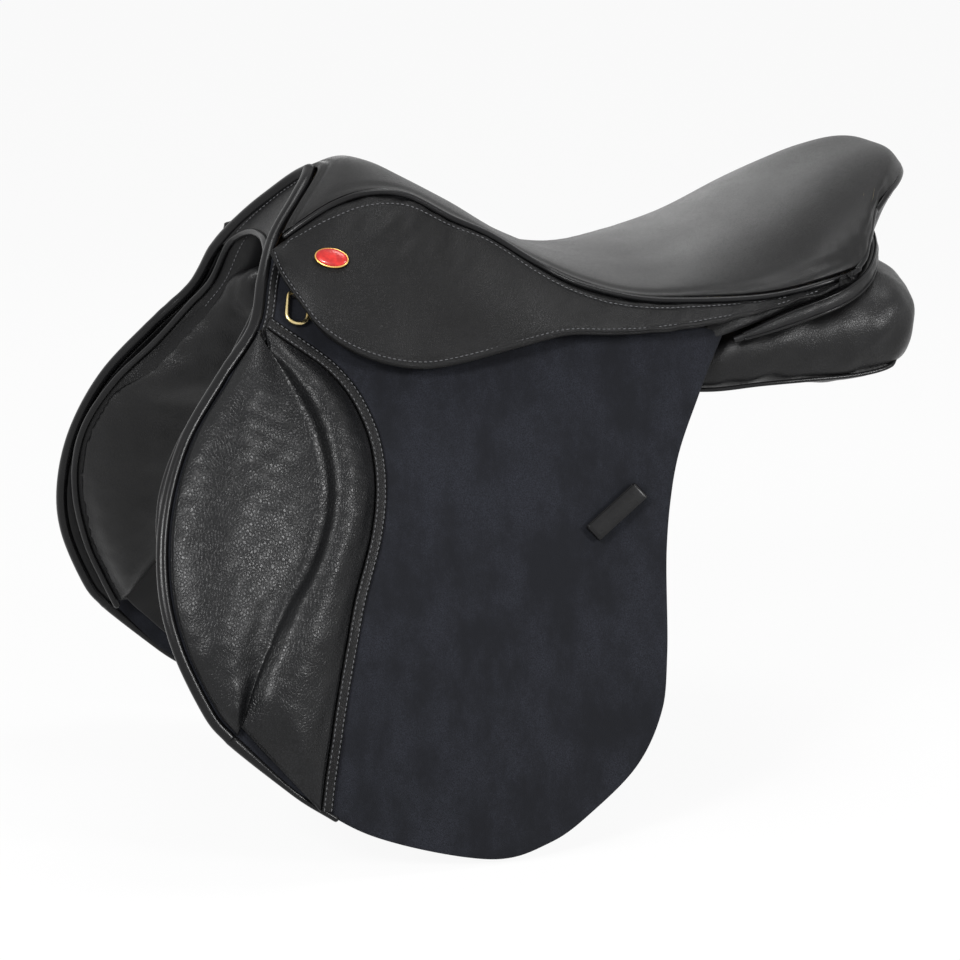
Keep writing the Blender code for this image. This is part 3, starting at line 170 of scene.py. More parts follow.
def sideNormal(x, z):
    step = 0.003
    slopeX = (halfWidth(x + step, z) - halfWidth(x - step, z)) / (2 * step)
    slopeZ = (halfWidth(x, z + step) - halfWidth(x, z - step)) / (2 * step)
    return unit(np.stack([-slopeX, np.ones_like(slopeX), -slopeZ], axis=-1))


def sidePoint(x, z, depth=0.0):
    # a point at a depth outside the inner face of the flap, on the off side
    x, z = np.broadcast_arrays(np.asarray(x, float), np.asarray(z, float))
    depth = np.broadcast_to(np.asarray(depth, float), x.shape)
    return np.stack([x, halfWidth(x, z), z], axis=-1) + sideNormal(x, z) * depth[..., None]


def flapPlace(shares):
    shares = np.asarray(shares, float)
    return np.stack([flapFrame["topX"] - shares[..., 0] * flapFrame["length"],
                     flapFrame["topZ"] - shares[..., 1] * flapFrame["depth"]], axis=-1)


def inset(points, distance):
    # an open line of (x, z) points moved sideways, towards the middle of the flap
    points = np.asarray(points, float)
    run = unit(np.vstack([points[1:2] - points[:1], points[2:] - points[:-2], points[-1:] - points[-2:-1]]))
    return points + np.stack([-run[:, 1], run[:, 0]], axis=1) * distance


def seatSurface(place, v):
    place, v = np.broadcast_arrays(np.asarray(place, float), np.asarray(v, float))
    edge, middle = splineAt(seatEdge, place) * mm, splineAt(seatMiddle, place) * mm
    soft = 0.12
    a = (np.hypot(v, soft) - soft) / (math.hypot(1.0, soft) - soft)
    rear = smoothStep(place / 8.0)
    power = 1.25 + 1.15 * rear
    rolled = 0.12 + 0.28 * rear
    lift = a ** power
    fall = (1 - rolled) * lift + rolled * (1 - np.sqrt(np.maximum(0.0, 1 - v ** 4)))
    return np.stack([middle[..., 0] + (edge[..., 0] - middle[..., 0]) * lift, edge[..., 1] * v,
                     middle[..., 2] + (edge[..., 2] - middle[..., 2]) * fall], axis=-1)


def seatNormal(place, v):
    place, v = np.broadcast_arrays(np.asarray(place, float), np.asarray(v, float))
    ahead = seatSurface(np.minimum(place + 0.1, lastSeat), v) - seatSurface(np.maximum(place - 0.1, 0), v)
    across = seatSurface(place, np.minimum(v + 0.02, 1)) - seatSurface(place, np.maximum(v - 0.02, -1))
    return unit(np.cross(ahead, across))


def seatPoint(place, v, depth):
    depth = np.asarray(depth, float)
    return seatSurface(place, v) - seatNormal(place, v) * depth[..., None]


def weltPoint(place):
    # middle of the welt round the seat, on the off side
    place = np.asarray(place, float)
    across = unit(seatSurface(place, 1.0) - seatSurface(place, 0.985))
    gap = 0.0003 * (5.0 - 2.0 * smoothStep(place / 2.0))
    return seatPoint(place, 1.0, seatLeather / 2) + across * (weltRadius + gap)[..., None]


def skirtSurface(place, t, depth=0.0):
    # t runs from the seat's welt to the skirt's lower edge
    place, t = np.broadcast_arrays(np.asarray(place, float), np.asarray(t, float))
    last = len(skirtEdge) - 1
    hang = np.array([row[0] for row in skirtEdge])
    index = np.minimum(place.astype(int), last - 1)
    seatPlace = hang[index] + (hang[index + 1] - hang[index]) * (place - index)
    upper = weltPoint(np.maximum(seatPlace, seatStart)) + np.array(skirtTop)
    lower = splineAt([row[1] for row in skirtEdge], place) * mm
    swell = skirtBulge * np.sin(np.pi * t) * np.sin(np.pi * np.minimum(1.0, (place + 0.6) / 9.0))
    return upper + (lower - upper) * t[..., None] + unit(np.array(skirtOut)) * (swell + depth)[..., None]


def foldFrame(line):
    # the plane through a fold, square to the leather: a point on it and its upward normal
    run = unit(line[1] - line[0])
    normal = unit(np.cross([0.0, 0.9, 0.43], run))
    return line[0], normal if normal[2] > 0 else -normal


def ripple(points, size, seed, count=7):
    # soft undulation between about -1 and 1, from a few fixed waves
    rng = np.random.default_rng(seed)
    total = np.zeros(points.shape[:-1])
    for _ in range(count):
        direction = unit(rng.normal(size=3))
        total += np.sin(points @ direction * (2 * np.pi / (size * rng.uniform(0.7, 1.5))) + rng.uniform(0, 6.28))
    return total / math.sqrt(count)


def bell(x, width):
    return np.exp(-(x / width) ** 2)


def flipSide(points, sign):
    return np.asarray(points, float) * np.array([1.0, sign, 1.0])


def mirrored(half):
    # the whole of a row that starts on the middle plane
    return np.vstack([flipSide(half[1:][::-1], -1), half])


def between(near, far, shares):
    # a grid of points from one line to another
    return near[:, None] * (1 - shares)[None, :, None] + far[:, None] * shares[None, :, None]


def onSide(flat, depth=0.0):
    # points at a depth outside the inner face of the flap, and the way that it faces there
    x, z = flat[..., 0], flat[..., 1]
    return sidePoint(x, z, depth), sideNormal(x, z)


# mesh helpers
def placed(name, data):
    thing = bpy.data.objects.new(name, data)
    bpy.context.collection.objects.link(thing)
    return thing


def makeObject(name, verts, faces, look, uv=None):
    mesh = bpy.data.meshes.new(name)
    mesh.from_pydata([tuple(p) for p in np.asarray(verts, float)], [], [list(map(int, f)) for f in faces])
    bm = bmesh.new()
    bm.from_mesh(mesh)
    bmesh.ops.recalc_face_normals(bm, faces=bm.faces)
    if bm.calc_volume(signed=True) < 0:
        bmesh.ops.reverse_faces(bm, faces=bm.faces)
    bm.to_mesh(mesh)
    bm.free()
    if uv is not None:
        layer = mesh.uv_layers.new(name="weave")
        loopVerts = np.empty(len(mesh.loops), int)
        mesh.loops.foreach_get("vertex_index", loopVerts)
        layer.data.foreach_set("uv", np.asarray(uv, float)[loopVerts].ravel())
    mesh.shade_smooth()
    mesh.materials.append(look)
    return placed(name, mesh)


def baked(name, rough):
    # the mesh that an object's modifiers leave, in place of the object
    graph = bpy.context.evaluated_depsgraph_get()
    mesh = bpy.data.meshes.new_from_object(rough.evaluated_get(graph))
    bpy.data.objects.remove(rough)
    mesh.name = name
    return mesh


def gridFaces(rows, columns, wrapRows=False, wrapColumns=False):
    spans = np.arange(rows - (not wrapRows)), np.arange(columns - (not wrapColumns))
    i, j = (index.ravel() for index in np.meshgrid(*spans, indexing="ij"))
    a, b = (i + 1) % rows, (j + 1) % columns
    return np.stack([i * columns + j, i * columns + b, a * columns + b, a * columns + j], axis=1)


def gridRim(rows, columns):
    loop = list(range(columns)) + [i * columns + columns - 1 for i in range(1, rows)]
    loop += [(rows - 1) * columns + j for j in range(columns - 2, -1, -1)]
    return np.array(loop + [i * columns for i in range(rows - 2, 0, -1)])


def gridNormals(grid):
    ahead = np.gradient(grid, axis=0)
    across = np.gradient(grid, axis=1)
    return unit(np.cross(across, ahead))


def facingAlong(grid, axis):
    # the grid's normals, on the side that faces along an axis
    normals = gridNormals(grid)
    return normals * np.sign(np.sum(normals[..., axis]))


def closedSheet(top, normals, faces, loop, thickness, arcs=3):
    # gives a sheet its thickness under the top, with a rounded rim round its edge
    top = np.array(top, float)
    thickness = np.broadcast_to(np.asarray(thickness, float), (len(top),))
    radius = thickness[loop, None] / 2
    n, p = normals[loop], top[loop]
    out = unit(np.cross(np.roll(p, -1, axis=0) - np.roll(p, 1, axis=0), n))
    if np.sum(out * (p - top.mean(axis=0))) < 0:
        out = -out
    top[loop] -= out * radius
    middle = top[loop] - n * radius
    bottom = top - normals * thickness[:, None]
    count = len(top)
    turns = np.pi * np.arange(1, arcs + 1) / (arcs + 1)
    rings = [middle + (n * math.cos(a) + out * math.sin(a)) * radius for a in turns]
    m = len(loop)
    rows = [np.array(loop)] + [2 * count + k * m + np.arange(m) for k in range(arcs)] + [np.array(loop) + count]
    allFaces = [list(f) for f in faces] + [[v + count for v in reversed(list(f))] for f in faces]
    for first, second in zip(rows, rows[1:]):
        for k in range(m):
            allFaces.append([first[k - 1], first[k], second[k], second[k - 1]])
    return np.vstack([top, bottom] + rings), allFaces


def gridSheet(outer, thickness, normals, arcs=3):
    rows, columns = outer.shape[:2]
    thick = np.broadcast_to(np.asarray(thickness, float), (rows, columns)).ravel()
    faces, rim = gridFaces(rows, columns), gridRim(rows, columns)
    return closedSheet(outer.reshape(-1, 3), normals.reshape(-1, 3), faces, rim, thick, arcs)


def starSheet(outline, centre, rings, depth, thickness, relief=None):
    # leather cut to an outline about a centre, bent over the saddle's side
    shares = np.linspace(0, 1, rings + 1)[1:]
    flat = centre + (outline[None] - centre) * shares[:, None, None]
    flat = np.vstack([centre[None], flat.reshape(-1, 2)])
    top, normals = onSide(flat, depth)
    if relief is not None:
        top = top + normals * relief(top, flat)[:, None]
    m = len(outline)
    faces = [[0, 1 + k, 1 + (k + 1) % m] for k in range(m)]
    faces += [list(f + 1) for f in gridFaces(rings, m, wrapColumns=True)]
    loop = 1 + (rings - 1) * m + np.arange(m)
    return closedSheet(top, normals, faces, loop, thickness)


def sweepTube(points, radius, segments, closed=False, ends=4):
    # a round roll along points, with rounded ends
    points = np.asarray(points, float)
    count = len(points)
    radius = np.broadcast_to(np.asarray(radius, float), (count,))
    if closed:
        run = unit(np.roll(points, -1, axis=0) - np.roll(points, 1, axis=0))
    else:
        run = unit(np.gradient(points, axis=0))
    side = np.cross(run[0], [0.0, 0.0, 1.0])
    side = unit(side if np.linalg.norm(side) > 0.1 else np.cross(run[0], [0.0, 1.0, 0.0]))
    frames = []
    for k in range(count):
        side = unit(side - run[k] * (side @ run[k]))
        frames.append((side, np.cross(run[k], side)))
    twist = 0.0
    if closed:
        first, last = frames[0], frames[-1]
        twist = math.atan2(last[0] @ first[1], last[0] @ first[0])
    rings = []
    turns = 2 * np.pi * np.arange(segments) / segments

    def ring(centre, frameHere, r, spin):
        a = turns[:, None] + spin
        return centre + (frameHere[0] * np.cos(a) + frameHere[1] * np.sin(a)) * r

    for k in range(count):
        rings.append(ring(points[k], frames[k], radius[k], -twist * k / count))
    tips = None
    if not closed:
        caps = [math.pi / 2 * (k + 1) / (ends + 1) for k in range(ends)]
        head = [ring(points[0] - run[0] * radius[0] * math.sin(a), frames[0], radius[0] * math.cos(a), 0) for a in caps]
        tail = [ring(points[-1] + run[-1] * radius[-1] * math.sin(a), frames[-1], radius[-1] * math.cos(a), 0)
                for a in caps]
        rings = head[::-1] + rings + tail
        tips = points[0] - run[0] * radius[0], points[-1] + run[-1] * radius[-1]
    return loftRings(rings, closed, tips)


def loftRings(rings, closed=False, tips=None):
    # a body through rings of points, with a fan over each end
    rings = np.asarray(rings, float)
    rows, columns = rings.shape[:2]
    verts = rings.reshape(-1, 3)
    faces = [list(f) for f in gridFaces(rows, columns, wrapRows=closed, wrapColumns=True)]
    if not closed:
        verts = np.vstack([verts, *(tips or (rings[0].mean(axis=0), rings[-1].mean(axis=0)))])
        last = (rows - 1) * columns
        for k in range(columns):
            faces.append([(k + 1) % columns, k, len(verts) - 2])
            faces.append([last + k, last + (k + 1) % columns, len(verts) - 1])
    return verts, faces


flapFoldLine = np.array([sidePoint(*flapPlace(share), flapFrame["leather"]) for share in flapFold])
skirtFoldLine = np.array(skirtFold, float) * mm
# each fold's line, and how far the bend reaches above and below it
folds = {"flap": (flapFoldLine, 0.006, 0.009), "skirt": (skirtFoldLine, 0.008, 0.008)}


def bentOver(piece, part, name):
    # works out the fold between the saddle and a flap or a skirt, and bakes the piece's place into its mesh; nothing is
    # bent here
    line, above, below = folds[part]
    point, normal = foldFrame(line)
    start, end = (tuple(flipSide(p, sides[name])) for p in (point + normal * above, point - normal * below))
    part + "_" + name
    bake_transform(piece)
    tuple(start)
    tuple(end)


# finishes
class Socket:
    # wraps a node's output, so that sums on it add Math nodes
    def __init__(self, tree, link):
        self.tree, self.link = tree, link

    def math(self, operation, *others):
        node = self.tree.nodes.new("ShaderNodeMath")
        node.operation = operation
        for slot, value in zip(node.inputs, (self,) + others):
            if isinstance(value, Socket):
                self.tree.links.new(value.link, slot)
            else:
                slot.default_value = value
        return Socket(self.tree, node.outputs[0])

    def __add__(self, other):
        return self.math("ADD", other)

    def __mul__(self, other):
        return self.math("MULTIPLY", other)

    def __sub__(self, other):
        return self.math("SUBTRACT", other)

    def __rsub__(self, other):
        return self.math("MULTIPLY_ADD", -1.0, other)

    __radd__ = __add__
    __rmul__ = __mul__

    def between(self, low, high):
        # 0 at low, 1 at high, smooth and held outside
        node = self.tree.nodes.new("ShaderNodeMapRange")
        node.interpolation_type = "SMOOTHSTEP"
        self.tree.links.new(self.link, node.inputs["Value"])
        node.inputs["From Min"].default_value = low
        node.inputs["From Max"].default_value = high
        return Socket(self.tree, node.outputs[0])


class Finish:
    def __init__(self, name):
        self.material = bpy.data.materials.new(name)
        self.material.use_nodes = True
        self.tree = self.material.node_tree
        self.shader = self.tree.nodes["Principled BSDF"]
        self.place = self.node("ShaderNodeTexCoord", out="Object")

    def node(self, kind, settings=None, sockets=None, out=0):
        node = self.tree.nodes.new(kind)
        for key, value in (settings or {}).items():
            setattr(node, key, value)
        for key, value in (sockets or {}).items():
            self.plug(node.inputs[key], value)
        return Socket(self.tree, node.outputs[out])

    def plug(self, slot, value):
        if isinstance(value, Socket):
            self.tree.links.new(value.link, slot)
        elif isinstance(value, tuple) and len(value) == 3 and slot.type == "RGBA":
            slot.default_value = (*value, 1.0)
        else:
            slot.default_value = value

    def noise(self, scale, detail=3.0, rough=0.55, stretch=None):
        vector = self.place
        if stretch:
            vector = self.node("ShaderNodeMapping", None, {"Vector": vector, "Scale": stretch})
        return self.node("ShaderNodeTexNoise", None, {"Vector": vector, "Scale": scale, "Detail": detail,
                                                      "Roughness": rough})

    def cells(self, size, warp=0.0, vector=None):
        vector = vector or self.place
        if warp:
            drift = {"Vector": vector, "Scale": 0.4 / size, "Detail": 2.0}
            drift = self.node("ShaderNodeTexNoise", None, drift, "Color")
            drift = self.node("ShaderNodeVectorMath", {"operation": "SCALE"}, {0: drift, "Scale": warp})
            vector = self.node("ShaderNodeVectorMath", {"operation": "ADD"}, {0: vector, 1: drift})
        return self.node("ShaderNodeTexVoronoi", {"feature": "DISTANCE_TO_EDGE"},
                         {"Vector": vector, "Scale": 1.0 / size})

    def mix(self, share, first, second):
        return self.node("ShaderNodeMix", {"data_type": "RGBA"}, {0: share, 6: first, 7: second}, 2)

    def relief(self, height, depth, strength=1.0):
        return self.node("ShaderNodeBump", None, {"Strength": strength, "Distance": depth, "Height": height})

    def done(self, **values):
        names = {"colour": "Base Color", "roughness": "Roughness", "metallic": "Metallic", "normal": "Normal",
                 "coat": "Coat Weight", "coatRoughness": "Coat Roughness", "specular": "Specular IOR Level",
                 "sheen": "Sheen Weight", "sheenRoughness": "Sheen Roughness"}
        for key, value in values.items():
            self.plug(self.shader.inputs[names[key]], value)
        return self.material


def scaled(colour, factor):
    return tuple(c * factor for c in colour)


def grainedLeather(name, colour, roughness, cell, depth, stretch=(1.0, 1.0, 1.0), specular=0.24):
    # pebbled leather: domed cells of two sizes, pores, and long soft changes of tone
    f = Finish(name)
    place = f.node("ShaderNodeMapping", None, {"Vector": f.place, "Rotation": (0.0, 0.6, 0.0), "Scale": stretch})
    large = f.cells(cell, warp=cell * 0.5, vector=place).between(0.0, 0.22)
    small = f.cells(cell * 0.55, warp=cell * 0.3, vector=place).between(0.0, 0.2)
    pores = f.noise(1900, 2.0)
    broad = f.noise(22, 3.0)
    worn = f.noise(60, 4.0, 0.6).between(0.35, 0.7)
    height = large * (worn * 0.5 + 0.5) + small * 0.14 + pores * 0.03
    tone = f.mix(broad.between(0.3, 0.7), scaled(colour, 0.75), scaled(colour, 1.3))
    tone = f.mix(large, scaled(colour, 0.5), tone)
    rough = roughness + (broad - 0.5) * 0.12 + (1.0 - large) * 0.12
    return f.done(colour=tone, roughness=rough, normal=f.relief(height, depth), specular=specular)


def smoothLeather(name, colour, roughness, depth=0.00003, specular=0.26):
    f = Finish(name)
    pores = f.noise(1500, 3.0)
    cells = f.cells(0.0009, warp=0.0006).between(0.0, 0.35)
    broad = f.noise(30, 3.0)
    rub = f.noise(9, 4.0, 0.6)
    tone = f.mix(broad.between(0.3, 0.7), scaled(colour, 0.8), scaled(colour, 1.25))
    height = pores * 0.5 + cells * 0.5 + broad * 1.5
    rough = roughness + (broad - 0.5) * 0.10 + (rub - 0.5) * 0.12
    return f.done(colour=tone, roughness=rough, normal=f.relief(height, depth), specular=specular)


def suedeLeather(name, colour):
    # short nap: matt, mottled where it has been brushed one way or the other
    f = Finish(name)
    nap = f.noise(1500, 3.0, 0.75)
    brushed = f.noise(34, 6.0, 0.68, stretch=(1.0, 1.0, 0.55))
    tone = f.mix(brushed.between(0.36, 0.64), scaled(colour, 0.55), scaled(colour, 1.5))
    tone = f.mix(nap.between(0.38, 0.62), scaled(colour, 0.55), tone)
    return f.done(colour=tone, roughness=0.82 + (brushed - 0.5) * 0.12, normal=f.relief(nap, 0.00025, 0.7),
                  specular=0.12, sheen=0.03, sheenRoughness=0.5)


def wovenWeb(name, colour, pitch):
    # the yarns cross over and under along the sheet's own map, in metres
    f = Finish(name)
    chart = f.node("ShaderNodeUVMap", {"uv_map": "weave"})
    split = f.node("ShaderNodeSeparateXYZ", None, {"Vector": chart})
    across, down = split, Socket(f.tree, split.link.node.outputs[1])
    warp = (across * (math.pi / pitch)).math("SINE")
    weft = (down * (math.pi / (pitch * 1.3))).math("SINE")
    over = warp.math("SIGN") * weft.math("SIGN") * 0.5 + 0.5
    height = warp.math("ABSOLUTE") * over + weft.math("ABSOLUTE") * (1.0 - over)
    fibre = f.noise(1400, 3.0)
    tone = f.mix(height, scaled(colour, 0.55), colour)
    tone = f.mix(fibre.between(0.3, 0.7), scaled(colour, 0.8), tone)
    return f.done(colour=tone, roughness=0.85 + (fibre - 0.5) * 0.1, normal=f.relief(height + fibre * 0.3, 0.0004),
                  specular=0.2)


def seatFoam(name):
    f = Finish(name)
    holes = f.cells(0.0011).between(0.0, 0.3)
    broad = f.noise(40)
    tone = f.mix(holes, (0.42, 0.34, 0.2), f.mix(broad, (0.78, 0.7, 0.5), (0.7, 0.6, 0.4)))
    return f.done(colour=tone, roughness=0.9 + (broad - 0.5) * 0.08, normal=f.relief(holes, 0.0005), specular=0.15)


def laminatedBeech(name):
    f = Finish(name)
    layers = f.noise(60, 2.0, stretch=(0.6, 0.6, 22.0))
    figure = f.noise(45, 5.0, 0.65, stretch=(1.0, 9.0, 9.0))
    flecks = f.noise(420, 2.0, stretch=(0.12, 1.0, 1.0))
    tone = f.mix(figure.between(0.3, 0.7), (0.36, 0.2, 0.09), (0.5, 0.31, 0.16))
    tone = f.mix(layers.between(0.56, 0.62), tone, (0.22, 0.11, 0.05))
    tone = f.mix(flecks.between(0.6, 0.75), tone, (0.3, 0.16, 0.07))
    rough = 0.42 + (figure - 0.5) * 0.2
    return f.done(colour=tone, roughness=rough, normal=f.relief(figure + flecks * 0.3, 0.0002), coat=0.25,
                  coatRoughness=0.2)


def brushedSteel(name, colour, roughness):
    f = Finish(name)
    lines = f.noise(220, 4.0, 0.7, stretch=(1.0, 14.0, 14.0))
    blotch = f.noise(70, 4.0)
    tone = f.mix(blotch.between(0.35, 0.7), colour, scaled(colour, 0.72))
    rough = roughness + (lines - 0.5) * 0.22 + blotch.between(0.45, 0.75) * 0.08
    return f.done(colour=tone, roughness=rough, metallic=1.0, normal=f.relief(lines, 0.00006))


def castBrass(name, colour, roughness):
    f = Finish(name)
    cloud = f.noise(190, 4.0)
    scratch = f.noise(650, 3.0, 0.6, stretch=(0.25, 1.0, 1.0))
    tone = f.mix(cloud.between(0.4, 0.7), colour, (colour[0] * 0.8, colour[1] * 0.72, colour[2] * 0.55))
    rough = roughness + cloud.between(0.4, 0.8) * 0.14 + (scratch - 0.5) * 0.08
    return f.done(colour=tone, roughness=rough, metallic=1.0, normal=f.relief(scratch + cloud, 0.00008))


def redEnamel(name):
    f = Finish(name)
    depthTone = f.noise(260, 2.0)
    tone = f.mix(depthTone.between(0.3, 0.7), (0.33, 0.008, 0.008), (0.50, 0.018, 0.014))
    return f.done(colour=tone, roughness=0.3 + (depthTone - 0.5) * 0.1, normal=f.relief(depthTone, 0.00008), coat=0.35,
                  coatRoughness=0.08, specular=0.3)


def twistedThread(name, colour):
    f = Finish(name)
    strands = f.noise(2600, 2.0)
    tone = f.mix(strands.between(0.3, 0.7), scaled(colour, 0.55), scaled(colour, 1.25))
    return f.done(colour=tone, roughness=0.55 + (strands - 0.5) * 0.2, normal=f.relief(strands, 0.00015))


black = (0.0062, 0.0062, 0.0066)
looks = {
    "seat": grainedLeather("seat leather", (0.0070, 0.0070, 0.0072), 0.34, 0.0012, 0.00007, specular=0.22),
    "skirt": grainedLeather("skirt leather", (0.0066, 0.0066, 0.0069), 0.33, 0.0014, 0.00012, specular=0.15),
    "pad": grainedLeather("tumbled knee pad leather", (0.0056, 0.0058, 0.0064), 0.27, 0.0022, 0.00015,
                          (1.15, 1.0, 0.9), 0.24),
    "panel": grainedLeather("panel leather", black, 0.30, 0.0018, 0.00009, (1.5, 1.0, 0.9), 0.26),
    "facing": grainedLeather("facing leather", black, 0.30, 0.0013, 0.00009, specular=0.17),
    "roll": smoothLeather("piping leather", (0.0054, 0.0054, 0.0058), 0.24, specular=0.2),
    "smooth": smoothLeather("smooth leather", (0.0062, 0.0062, 0.0066), 0.30, specular=0.2),
    "flap": suedeLeather("flap leather nap", (0.0108, 0.0118, 0.0158)),
    "strap": smoothLeather("bridle leather", (0.0085, 0.0080, 0.0076), 0.38, 0.00005),
    "web": wovenWeb("undyed webbing", (0.56, 0.50, 0.39), 0.0011),
    "foam": seatFoam("cream foam"),
    "wood": laminatedBeech("laminated beech"),
    "steel": brushedSteel("brushed steel", (0.46, 0.47, 0.49), 0.32),
    "brass": castBrass("pale brass", (0.66, 0.54, 0.28), 0.24),
    "gold": castBrass("gilt rim", (0.80, 0.50, 0.16), 0.24),
    "enamel": redEnamel("red enamel"),
    # the stitch thread is black; its grey colour paints in the sheen that makes it look lighter than the leather
    "thread": twistedThread("dark thread with painted sheen", (0.085, 0.086, 0.092)),
    "pale": twistedThread("pale thread", (0.42, 0.42, 0.43)),
}
print("finishes:", len(looks))

# stitches, by Geometry Nodes
stitchSizes = {"pitch": 0.0034, "length": 0.0025, "width": 0.00075, "height": 0.00065}


def stitchTree():
    tree = bpy.data.node_groups.new("stitches", "GeometryNodeTree")
    for label, kind in (("Geometry", "Geometry"), ("Pitch", "Float"), ("Length", "Float"), ("Width", "Float"),
                        ("Height", "Float"), ("Thread", "Material")):
        tree.interface.new_socket(label, in_out="INPUT", socket_type="NodeSocket" + kind)
    tree.interface.new_socket("Geometry", in_out="OUTPUT", socket_type="NodeSocketGeometry")

    def add(kind, *inputs, **settings):
        node = tree.nodes.new(kind)
        for key, value in settings.items():
            setattr(node, key, value)
        for slot, value in inputs:
            if isinstance(value, bpy.types.NodeSocket):
                tree.links.new(value, node.inputs[slot])
            else:
                node.inputs[slot].default_value = value
        return node.outputs

    source = add("NodeGroupInput")
    curve = add("GeometryNodeMeshToCurve", ("Mesh", source["Geometry"]))
    even = add("GeometryNodeResampleCurve", ("Curve", curve["Curve"]), ("Length", source["Pitch"]), mode="LENGTH")
    bead = add("GeometryNodeMeshUVSphere", ("Segments", 6), ("Rings", 4), ("Radius", 0.5))
    size = add("ShaderNodeCombineXYZ", (0, source["Length"]), (1, source["Width"]), (2, source["Height"]))
    shape = add("GeometryNodeTransform", ("Geometry", bead["Mesh"]), ("Scale", size[0]))
    smooth = add("GeometryNodeSetShadeSmooth", (0, shape[0]))
    # each bead lies along the row and faces the way that the leather faces
    lie = add("GeometryNodeInputNamedAttribute", ("Name", "lie"), data_type="FLOAT_VECTOR")
    along = add("FunctionNodeAlignRotationToVector", ("Vector", add("GeometryNodeInputTangent")[0]), axis="X")
    upright = add("FunctionNodeAlignRotationToVector", ("Rotation", along[0]), ("Vector", lie["Attribute"]),
                  axis="Z", pivot_axis="X")
    place = add("GeometryNodeInstanceOnPoints", ("Points", even["Curve"]), ("Instance", smooth[0]),
                ("Rotation", upright[0]))
    real = add("GeometryNodeRealizeInstances", (0, place[0]))
    paint = add("GeometryNodeSetMaterial", ("Geometry", real[0]), ("Material", source["Thread"]))
    add("NodeGroupOutput", (0, paint[0]))
    return tree


stitchGroup = stitchTree()


def sewn(name, rows, look, **changes):
    # rows of stitches, each given as points and the directions that the leather faces there
    mesh = bpy.data.meshes.new(name)
    verts, edges, lie = [], [], []
    for points, normals in rows:
        start = len(verts)
        verts += [tuple(p) for p in points]
        lie += list(np.broadcast_to(normals, np.shape(points)))
        edges += [(start + k, start + k + 1) for k in range(len(points) - 1)]
    mesh.from_pydata(verts, edges, [])
    attribute = mesh.attributes.new("lie", "FLOAT_VECTOR", "POINT")
    attribute.data.foreach_set("vector", np.asarray(lie, float).ravel())
    path = placed(name + "_path", mesh)
    modifier = path.modifiers.new("stitches", "NODES")
    modifier.node_group = stitchGroup
    keys = {item.name: item.identifier for item in stitchGroup.interface.items_tree if item.in_out == "INPUT"}
    sizes = {**stitchSizes, **changes}
    for label, key in (("Pitch", "pitch"), ("Length", "length"), ("Width", "width"), ("Height", "height")):
        modifier[keys[label]] = sizes[key]
    modifier[keys["Thread"]] = look
    bpy.context.view_layer.update()
    result = baked(name, path)
    if "lie" in result.attributes:
        result.attributes.remove(result.attributes["lie"])
    return placed(name, result)


def settled(piece, slot, body, *nodes):
    # puts a finished piece on its body, or keeps one that spans a fold where it is, and hides the CAD nodes that it
    # stands for
    if isinstance(body, tuple):
        bentOver(piece, *body)
    else:
        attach(piece, body)
    if nodes:
        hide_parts(*nodes)
    return piece


def fitted(name, shape, look, slot, body, *nodes, sign=1, uv=None):
    verts, faces = shape
    return settled(makeObject(name, flipSide(verts, sign), faces, looks[look], uv), slot, body, *nodes)


def stitched(name, rows, body, sign=1, thread="thread", **changes):
    rows = [(flipSide(points, sign), flipSide(facing, sign)) for points, facing in rows]
    settled(sewn(name, rows, looks[thread], **changes), "smooth_leather", body)


def onEachSide(stage, *builders):
    for name, sign in sides.items():
        for build in builders:
            build(name, sign)
    print(stage)


# seat: leather over foam over webbing
seatPiece = {"rows": 170, "columns": 120, "frontBead": 0.0011, "frontDip": 0.0007, "pull": 0.0009, "soft": 0.0004,
             "fold": 0.00025, "foam": 0.0066, "foamGap": 0.0009, "web": 0.0015, "webHalf": 0.0225}


def seatRelief(p, v, surface):
    # a bead and a dip behind the front edge, a pull along the welt, and fine folds at the rear
    s = seatPiece
    edge = (1 - np.abs(v)) * splineAt(seatEdge, p)[..., 1] * mm  # distance in from the welt
    front = np.linalg.norm(surface - surface[:1], axis=-1)
    lift = s["frontBead"] * bell(front - 0.0035, 0.0022) - s["frontDip"] * bell(front - 0.0085, 0.0018)
    lift = lift - s["pull"] * bell(edge - 0.005, 0.004) * smoothStep((p - 1) / 2)
    lift = lift + s["soft"] * ripple(surface * np.array([1.0, 0.5, 1.0]), 0.055, 3)
    creases = ripple(surface * np.array([3.0, 0.6, 3.0]), 0.03, 5) * smoothStep((0.030 - edge) / 0.03)
    return lift + s["fold"] * creases * smoothStep((p - 8) / 3)


def seatWebs(depth):
    # one band along the seat and two across it, each with its rows of points and normals
    s = seatPiece
    run = lastSeat - seatStart
    places = np.linspace(seatStart + run * 3 / 20, seatStart + run * 16 / 20, 120)
    p, w = np.meshgrid(places, np.linspace(-1, 1, 13), indexing="ij")
    v = s["webHalf"] / seatSurface(p, 1.0)[..., 1] * w
    yield "long", seatPoint(p, v, np.full(p.shape, depth)), seatNormal(p, v)
    depth += s["web"] + 0.0006
    for name, place in (("front", 7.0), ("rear", 8.6)):
        p, v = np.meshgrid(place + np.linspace(-0.55, 0.55, 13), np.linspace(-0.62, 0.62, 60), indexing="ij")
        yield name, seatPoint(p, v, np.full(p.shape, depth)), seatNormal(p, v)


